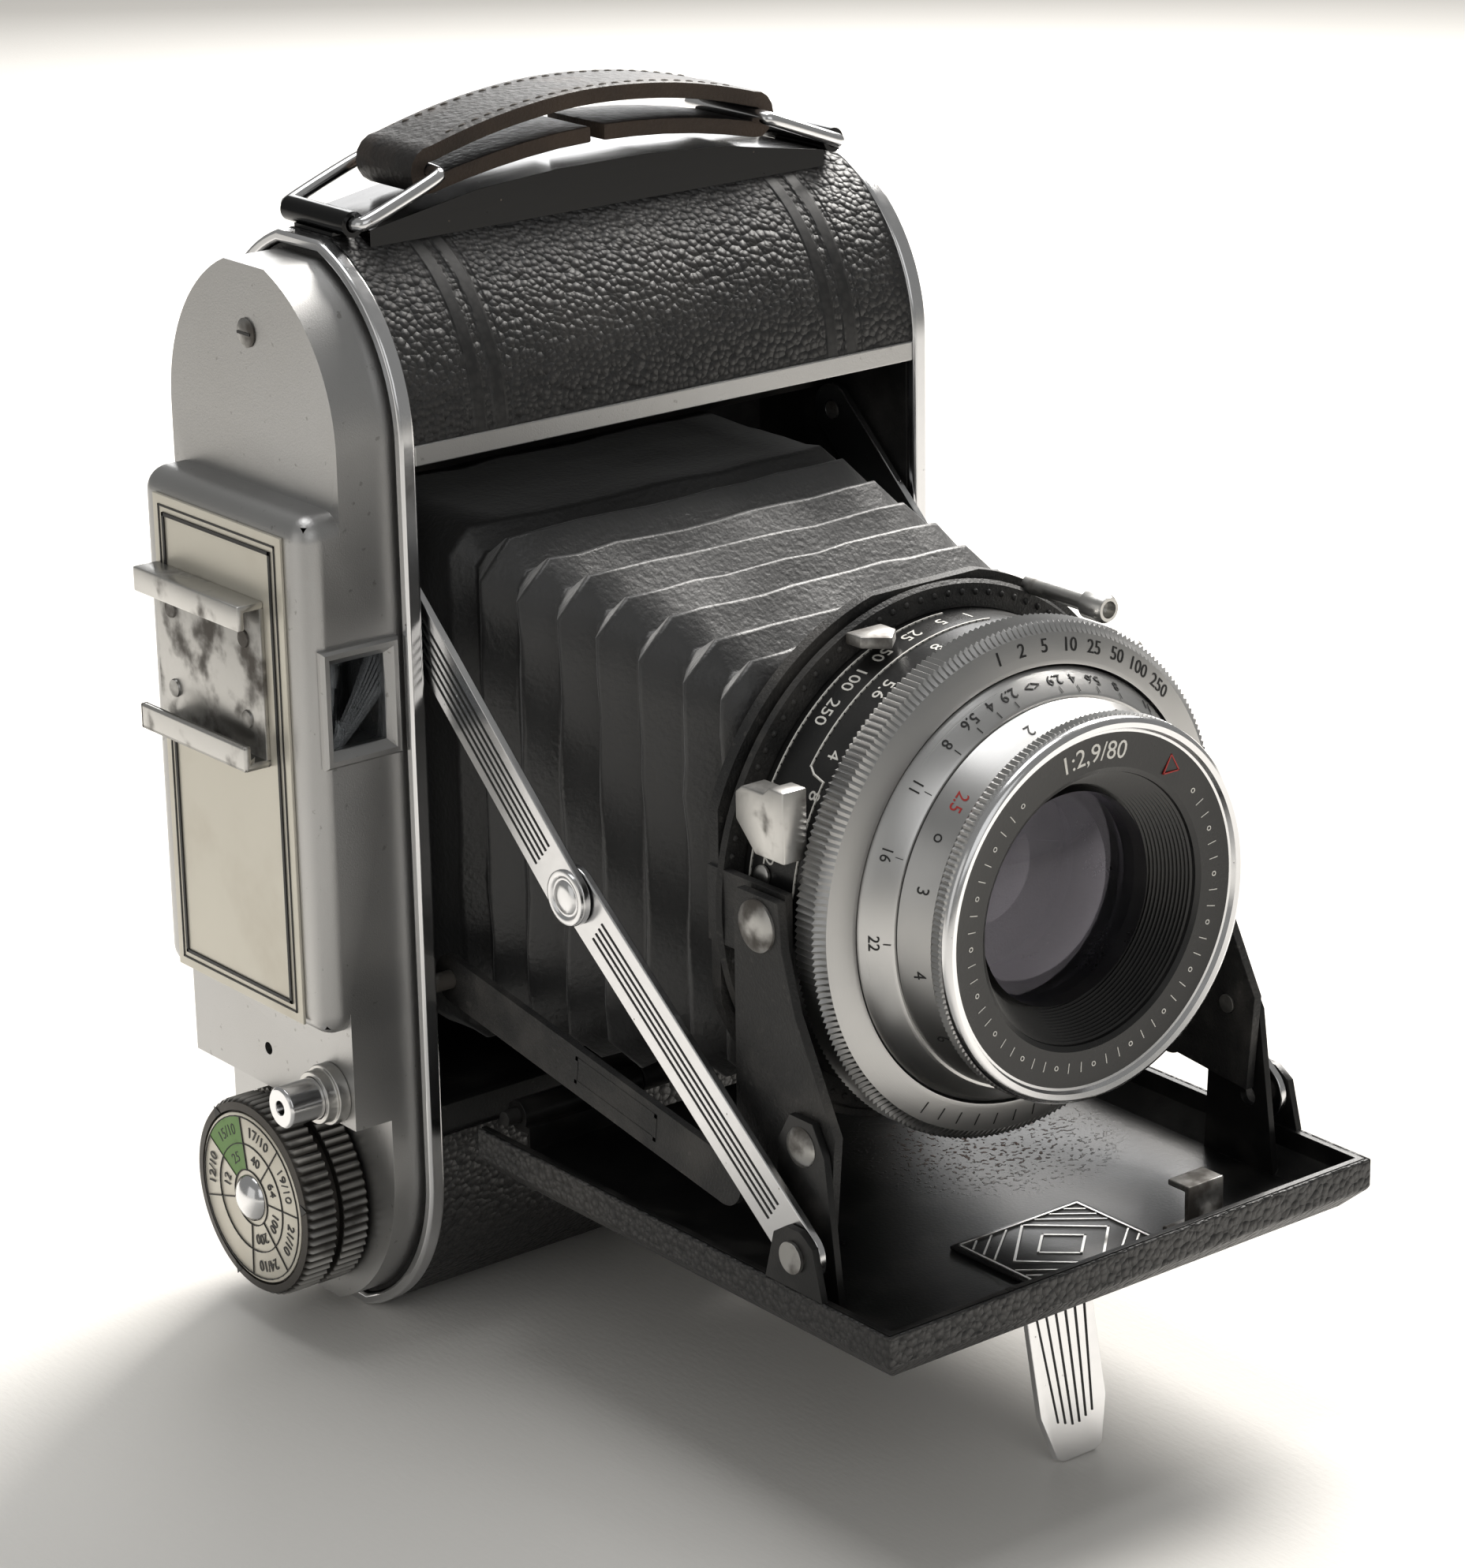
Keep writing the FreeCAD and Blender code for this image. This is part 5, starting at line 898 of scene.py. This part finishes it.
def windingKnob():
    knob = dict(teeth=64, groove=11.7, face=53.3, ring=12.7, disc=10.9, cap=2.7, sector=48, first=172)
    bm = bmesh.new()
    lathe(bm, [(29.3, 0), (29.3, 2.0), (44.3, 2.0), (44.3, 12.1), (44.7, knob["ring"]),
               (48.1, knob["ring"]),
               (48.3, knob["groove"]), (49.1, knob["groove"]), (49.3, knob["ring"]), (52.6, knob["ring"]),
               (knob["face"], 12.2), (knob["face"] + 0.1, 11.2), (52.9, 11.0), (52.9, 0)], knobCentre,
          outward,
          knob["teeth"] * 2)
    for low, high in ((44.5, 48.2), (49.2, 52.8)):
        knurl(bm, knobCentre, outward, knob["teeth"] * 2, 12.4, 0.5, low, high)
    keep(bm, "knob_two_bands", "ridged", "knob", ("winding_knob",), 30)
    bm = bmesh.new()
    for angle in (128, 250, 10):        # three marks on the rim
        spots = [onDisc(angle, 11.75, 53.4)(x, y, 0) for x, y in ((-0.8, -0.55), (0.8, -0.55), (0, 0.75))]
        spots += [spot + outward * 0.05 for spot in spots]
        verts = [bm.verts.new(spot) for spot in spots]
        bmesh.ops.convex_hull(bm, input=verts)
    keep(bm, "knob_marks", "black", "knob", fix=False)

    bm = bmesh.new()
    lathe(bm, [(53.0, 0), (53.0, knob["disc"]), (53.35, knob["disc"]), (53.45, knob["disc"] - 0.2),
               (53.45, 0)],
          knobCentre, outward, 96)
    keep(bm, "disc_face", "cream", "speed_disc", ("film_speed_disc",))
    bm = bmesh.new()
    lathe(bm, [(53.4, 0), (53.4, knob["cap"] + 0.3), (53.8, knob["cap"] + 0.2), (54.5, knob["cap"] * 0.8),
               (55.0, knob["cap"] * 0.4), (55.1, 0)], knobCentre, outward, 40)
    keep(bm, "disc_cap", "chrome", "speed_disc", sharp=60)
    bm = bmesh.new()                    # printed rings, spokes and figures
    face = 53.53
    for radius in (3.6, 7.0, 10.5):
        frameLines(bm, [onDisc(step * 7.5, radius, face)(0, 0, 0) for step in range(48)], 0.13)
    for step in range(7):
        angle = knob["first"] + knob["sector"] / 2 - step * knob["sector"]
        frameLines(bm, [onDisc(angle, radius, face)(0, 0, 0) for radius in (3.6, 10.5)], 0.13, False)
    outer = ("12/10", "15/10", "17/10", "19/10", "21/10", "24/10")
    inner = ("12", "25", "40", "64", "100", "200")
    for step, (far, near) in enumerate(zip(outer, inner)):
        angle = knob["first"] - step * knob["sector"]
        letters(bm, far, 2.0, onDisc(angle, 8.75, face))
        letters(bm, near, 1.9, onDisc(angle, 5.3, face))
    keep(bm, "disc_figures", "black", "speed_disc", fix=False)
    bm = bmesh.new()                    # green sector
    first = knob["first"] - knob["sector"] * 0.5
    rim = [onDisc(first - step * 4, 10.4, face - 0.05)(0, 0, 0) for step in range(13)]
    rim += [onDisc(first - step * 4, 3.7, face - 0.05)(0, 0, 0) for step in reversed(range(13))]
    sector = bm.faces.new([bm.verts.new(spot) for spot in rim])
    grown = bmesh.ops.extrude_face_region(bm, geom=[sector])["geom"]
    bmesh.ops.translate(bm, verts=[part for part in grown if isinstance(part, bmesh.types.BMVert)],
                        vec=outward * 0.05)
    keep(bm, "disc_green_sector", "green", "speed_disc")


def rectangles(bm, stops, middle):      # bridges rectangles of (y, half width, half height) into one frame
    rows = []
    for y, across, up in stops:
        spots = [(across, up), (-across, up), (-across, -up), (across, -up)]
        verts = [bm.verts.new((middle[0] + x, y, middle[1] + z)) for x, z in spots]
        rows.append([bm.edges.new(pair) for pair in zip(verts, verts[1:] + verts[:1])])
    for near, far in zip(rows, rows[1:]):
        bmesh.ops.bridge_loops(bm, edges=near + far)


def finder():
    window = dict(across=5.5, up=7.2, middle=(-46.0, 84.4), wall=-17.7)
    across, up, wall = window["across"], window["up"], window["wall"]
    bm = bmesh.new()
    rectangles(bm, [(wall + 0.1, across, up), (wall - 0.6, across, up),
                    (wall - 1.05, across - 0.35, up - 0.35),
                    (wall - 1.05, across - 0.95, up - 0.95), (wall + 0.1, across - 1.75, up - 1.9),
                    (wall + 0.9, across - 1.75, up - 1.9), (wall + 0.9, across - 0.9, up - 0.9),
                    (wall + 0.1, across, up)], window["middle"])
    keep(bm, "finder_bezel", "satin", "body", ("finder_frame",), 25)
    bm = bmesh.new()
    rectangles(bm, [(wall + 0.6, across - 1.3, up - 1.3), (17.0, across - 1.3, up - 1.3),
                    (17.0, across - 1.0, up - 1.0),
                    (wall + 0.6, across - 1.0, up - 1.0), (wall + 0.6, across - 1.3, up - 1.3)],
               window["middle"])
    keep(bm, "finder_tunnel", "enamel", "body", sharp=30)
    bm = bmesh.new()                    # bulging front glass, and the flat eye glass
    for y, swell, thick in ((wall + 0.35, 0.75, 0.5), (17.0, 0, -0.5)):
        made = bmesh.ops.create_grid(bm, x_segments=14, y_segments=18, size=1,
                                     matrix=Matrix.Rotation(math.pi / 2, 4, "X"))
        for vert in made["verts"]:
            x, z = vert.co.x, vert.co.z
            vert.co = Vector((window["middle"][0] + x * (across - 1.4),
                              y - swell * (1 - (x * x + z * z) / 2),
                              window["middle"][1] + z * (up - 1.4)))
        bmesh.ops.solidify(bm, geom=list({face for vert in made["verts"] for face in vert.link_faces}),
                           thickness=thick)
    keep(bm, "finder_glasses", "window", "body", ("finder_lenses",), 40)


def plateAndScrews():
    border = ((1.3, 0.22), (2.3, 0.42))     # inset and width of each line
    shoe = dict(sheet=0.9, slot=2.1, lip=3.1)   # its sheet, the height of the slot and the width of a lip
    fixings = dict(screw=(-47.6, 0, 125.9), rivetFace=-54.0, rivetDepths=(-6, 10),
                   rivetHeights=(81.2, 91.2))
    low, high = corners("name_plate")
    bm = bmesh.new()
    for inset, width in border:
        spots = [(low.x, low.y + inset, low.z + inset), (low.x, high.y - inset, low.z + inset),
                 (low.x, high.y - inset, high.z - inset), (low.x, low.y + inset, high.z - inset)]
        frameLines(bm, spots, width)
    keep(bm, "plate_border", "black", "body", fix=False)
    low, high = corners("accessory_shoe")
    sheet, slot, lip = shoe["sheet"], shoe["slot"], shoe["lip"]
    bm = bmesh.new()
    box(bm, (low.x + sheet + slot, low.y, low.z + sheet * 0.9), (high.x, high.y, high.z - sheet * 0.9),
        0.12)
    keep(bm, "shoe_base", "shoeNickel", "body", ("accessory_shoe",))
    bm = bmesh.new()
    for way, outside in ((-1, low.z), (1, high.z)):
        edge, lipEnd = outside - way * sheet, outside - way * lip
        section = [(high.x, edge), (low.x + sheet, edge), (low.x + sheet, lipEnd), (low.x, lipEnd),
                   (low.x, outside),
                   (high.x, outside)]
        plateOf(bm, [(x, high.y, z) for x, z in section], (0, low.y - high.y, 0))
    keep(bm, "shoe_rails", "pale", "body", sharp=30)
    bm = bmesh.new()                    # slotted screw in the lobe and the shoe's four rivets
    lathe(bm, [(0, 0), (0, 1.75), (0.2, 1.8), (0.45, 1.3), (0.5, 0)], Vector(fixings["screw"]), outward, 32)
    for y in fixings["rivetDepths"]:
        for z in fixings["rivetHeights"]:
            spot = Vector((fixings["rivetFace"], y, z))
            lathe(bm, [(0, 0), (0, 1.15), (0.25, 1.05), (0.34, 0)], spot, outward, 24)
    keep(bm, "screw_and_rivets", "nickel", "body", ("housing_fasteners",), 40)
    # the screw's slot is a thin black strip on its face: painted shade where the recess would be
    bm = bmesh.new()
    box(bm, (-48.14, -1.35, 125.72), (-48.08, 1.35, 126.08))
    keep(bm, "screw_slot_shade", "black", "body")


# Struts, rivets and the foot's engraved lines.
def ahead(distance, height, x):         # a point in front of the film plane, at this height and side
    return Vector((x, -20 - distance, height))


def strutDetails():
    pivots = dict(ear=(66.4, 34.5), mid=(26.0, 65.8), top=(-14.5, 103.0), bracket=(55.5, 69.6),
                  upright=(64.0, 46.0))
    struts = (("upper", "mid", "top", 37.45, 5, "upper_strut_pair"),
              ("lower", "ear", "mid", 36.25, 4, "lower_strut_pair"))
    for name, start, stop, face, count, body in struts:
        bm = bmesh.new()
        first, last = Vector(pivots[start]), Vector(pivots[stop])
        way = (last - first).normalized()
        across = Vector((-way.y, way.x))
        for side in (-1, 1):
            for step in range(count):
                offset = across * (step - (count - 1) / 2) * 0.95
                a, b = first + way * 6.0 + offset, last - way * (5.4 if name == "lower" else 4.0) + offset
                frameLines(bm, [ahead(a.x, a.y, side * face), ahead(b.x, b.y, side * face)], 0.2, False)
        keep(bm, name + "_strut_lines", "black", body, fix=False)
    bm = bmesh.new()                    # ringed middle rivets
    for side in (-1, 1):
        lathe(bm, [(0, 0), (0, 3.35), (0.3, 3.3), (0.42, 3.0), (0.3, 2.5), (0.12, 2.3), (0.12, 2.1),
                   (0.4, 1.8),
                   (0.48, 1.0), (0.5, 0)], ahead(*pivots["mid"], side * 37.45), Vector((side, 0, 0)), 48)
    keep(bm, "middle_rivets", "chrome", "upper_strut_pair", ("strut_rivets",), 40)
    bm = bmesh.new()                    # broad domed rivets of the lens brackets
    for side in (-1, 1):
        lathe(bm, [(-2.0, 0), (-2.0, 1.1), (0, 1.1), (0, 3.1), (0.3, 3.05), (0.6, 2.3), (0.8, 1.1),
                   (0.85, 0)],
              ahead(*pivots["bracket"], side * 32.9), Vector((side, 0, 0)), 40)
    keep(bm, "bracket_domes", "nickel", "brackets", ("bracket_rivets",), 50)
    bm = bmesh.new()                    # heads of the upright pins
    for side in (-1, 1):
        lathe(bm, [(0, 0), (0, 2.4), (0.2, 2.3), (0.5, 1.4), (0.55, 0)],
              ahead(*pivots["upright"], side * 34.0),
              Vector((side, 0, 0)), 32)
    keep(bm, "upright_heads", "nickel", "bed", sharp=50)
    bm = bmesh.new()                    # pressed panel on each black link
    for side in (-1, 1):
        spots = [ahead(u, z, side * 34.95) for u, z in ((24, 44.5), (39, 42.0), (38.6, 39.0), (23.6, 41.5))]
        frameLines(bm, spots, 0.5)
    keep(bm, "link_panels", "sandy", "links", fix=False)

    foot = dict(pivot=Vector((0, -88, 23)), lean=math.radians(11.79), lines=6, near=2.5, far=19.5, wide=4.0,
                narrow=2.7)
    down = Vector((0, -math.sin(foot["lean"]), -math.cos(foot["lean"])))
    face = Vector((0, -math.cos(foot["lean"]), math.sin(foot["lean"]))) * 0.45
    bm = bmesh.new()
    for step in range(foot["lines"]):
        share = step / (foot["lines"] - 1) * 2 - 1
        ends = [foot["pivot"] + face + down * reach + Vector((share * wide, 0, 0))
                for reach, wide in ((foot["near"], foot["wide"]),
                                    (foot["far"] - abs(share), foot["narrow"]))]
        frameLines(bm, ends, 0.22, False)
    keep(bm, "foot_lines", "black", "foot", fix=False)


def badge():
    low, high = corners("bed_badge")
    bm = bmesh.new()
    box(bm, low, high, 0.15)
    keep(bm, "badge_plate", "gloss", "bed", ("bed_badge",))
    bm = bmesh.new()
    top, middle = high.z, (low + high) / 2
    across, deep = (high.x - low.x) / 2 - 0.8, (high.y - low.y) / 2 - 0.8

    def at(x, y):
        return middle.x + x * across, middle.y + y * deep, top

    frameLines(bm, [at(-1, -1), at(1, -1), at(1, 1), at(-1, 1)], 0.3)
    for wide, tall in ((0.8, 0.92), (0.4, 0.45)):       # two nested diamonds
        frameLines(bm, [at(0, -tall), at(wide, 0), at(0, tall), at(-wide, 0)], 0.3)
    for sx in (-1, 1):
        for sy in (-1, 1):
            for step in (0.25, 0.5, 0.75):
                frameLines(bm, [at(sx * step, sy * 0.95), at(sx * 0.95, sy * step)], 0.22, False)
    keep(bm, "badge_ornament", "pale", "bed", fix=False)


for stage in (casing, bedParts, windingKnob, finder, plateAndScrews, strutDetails, badge, bellowsFolds,
              handStrap,
              shutter, levers, dials):
    stage()
    print("made:", stage.__name__)
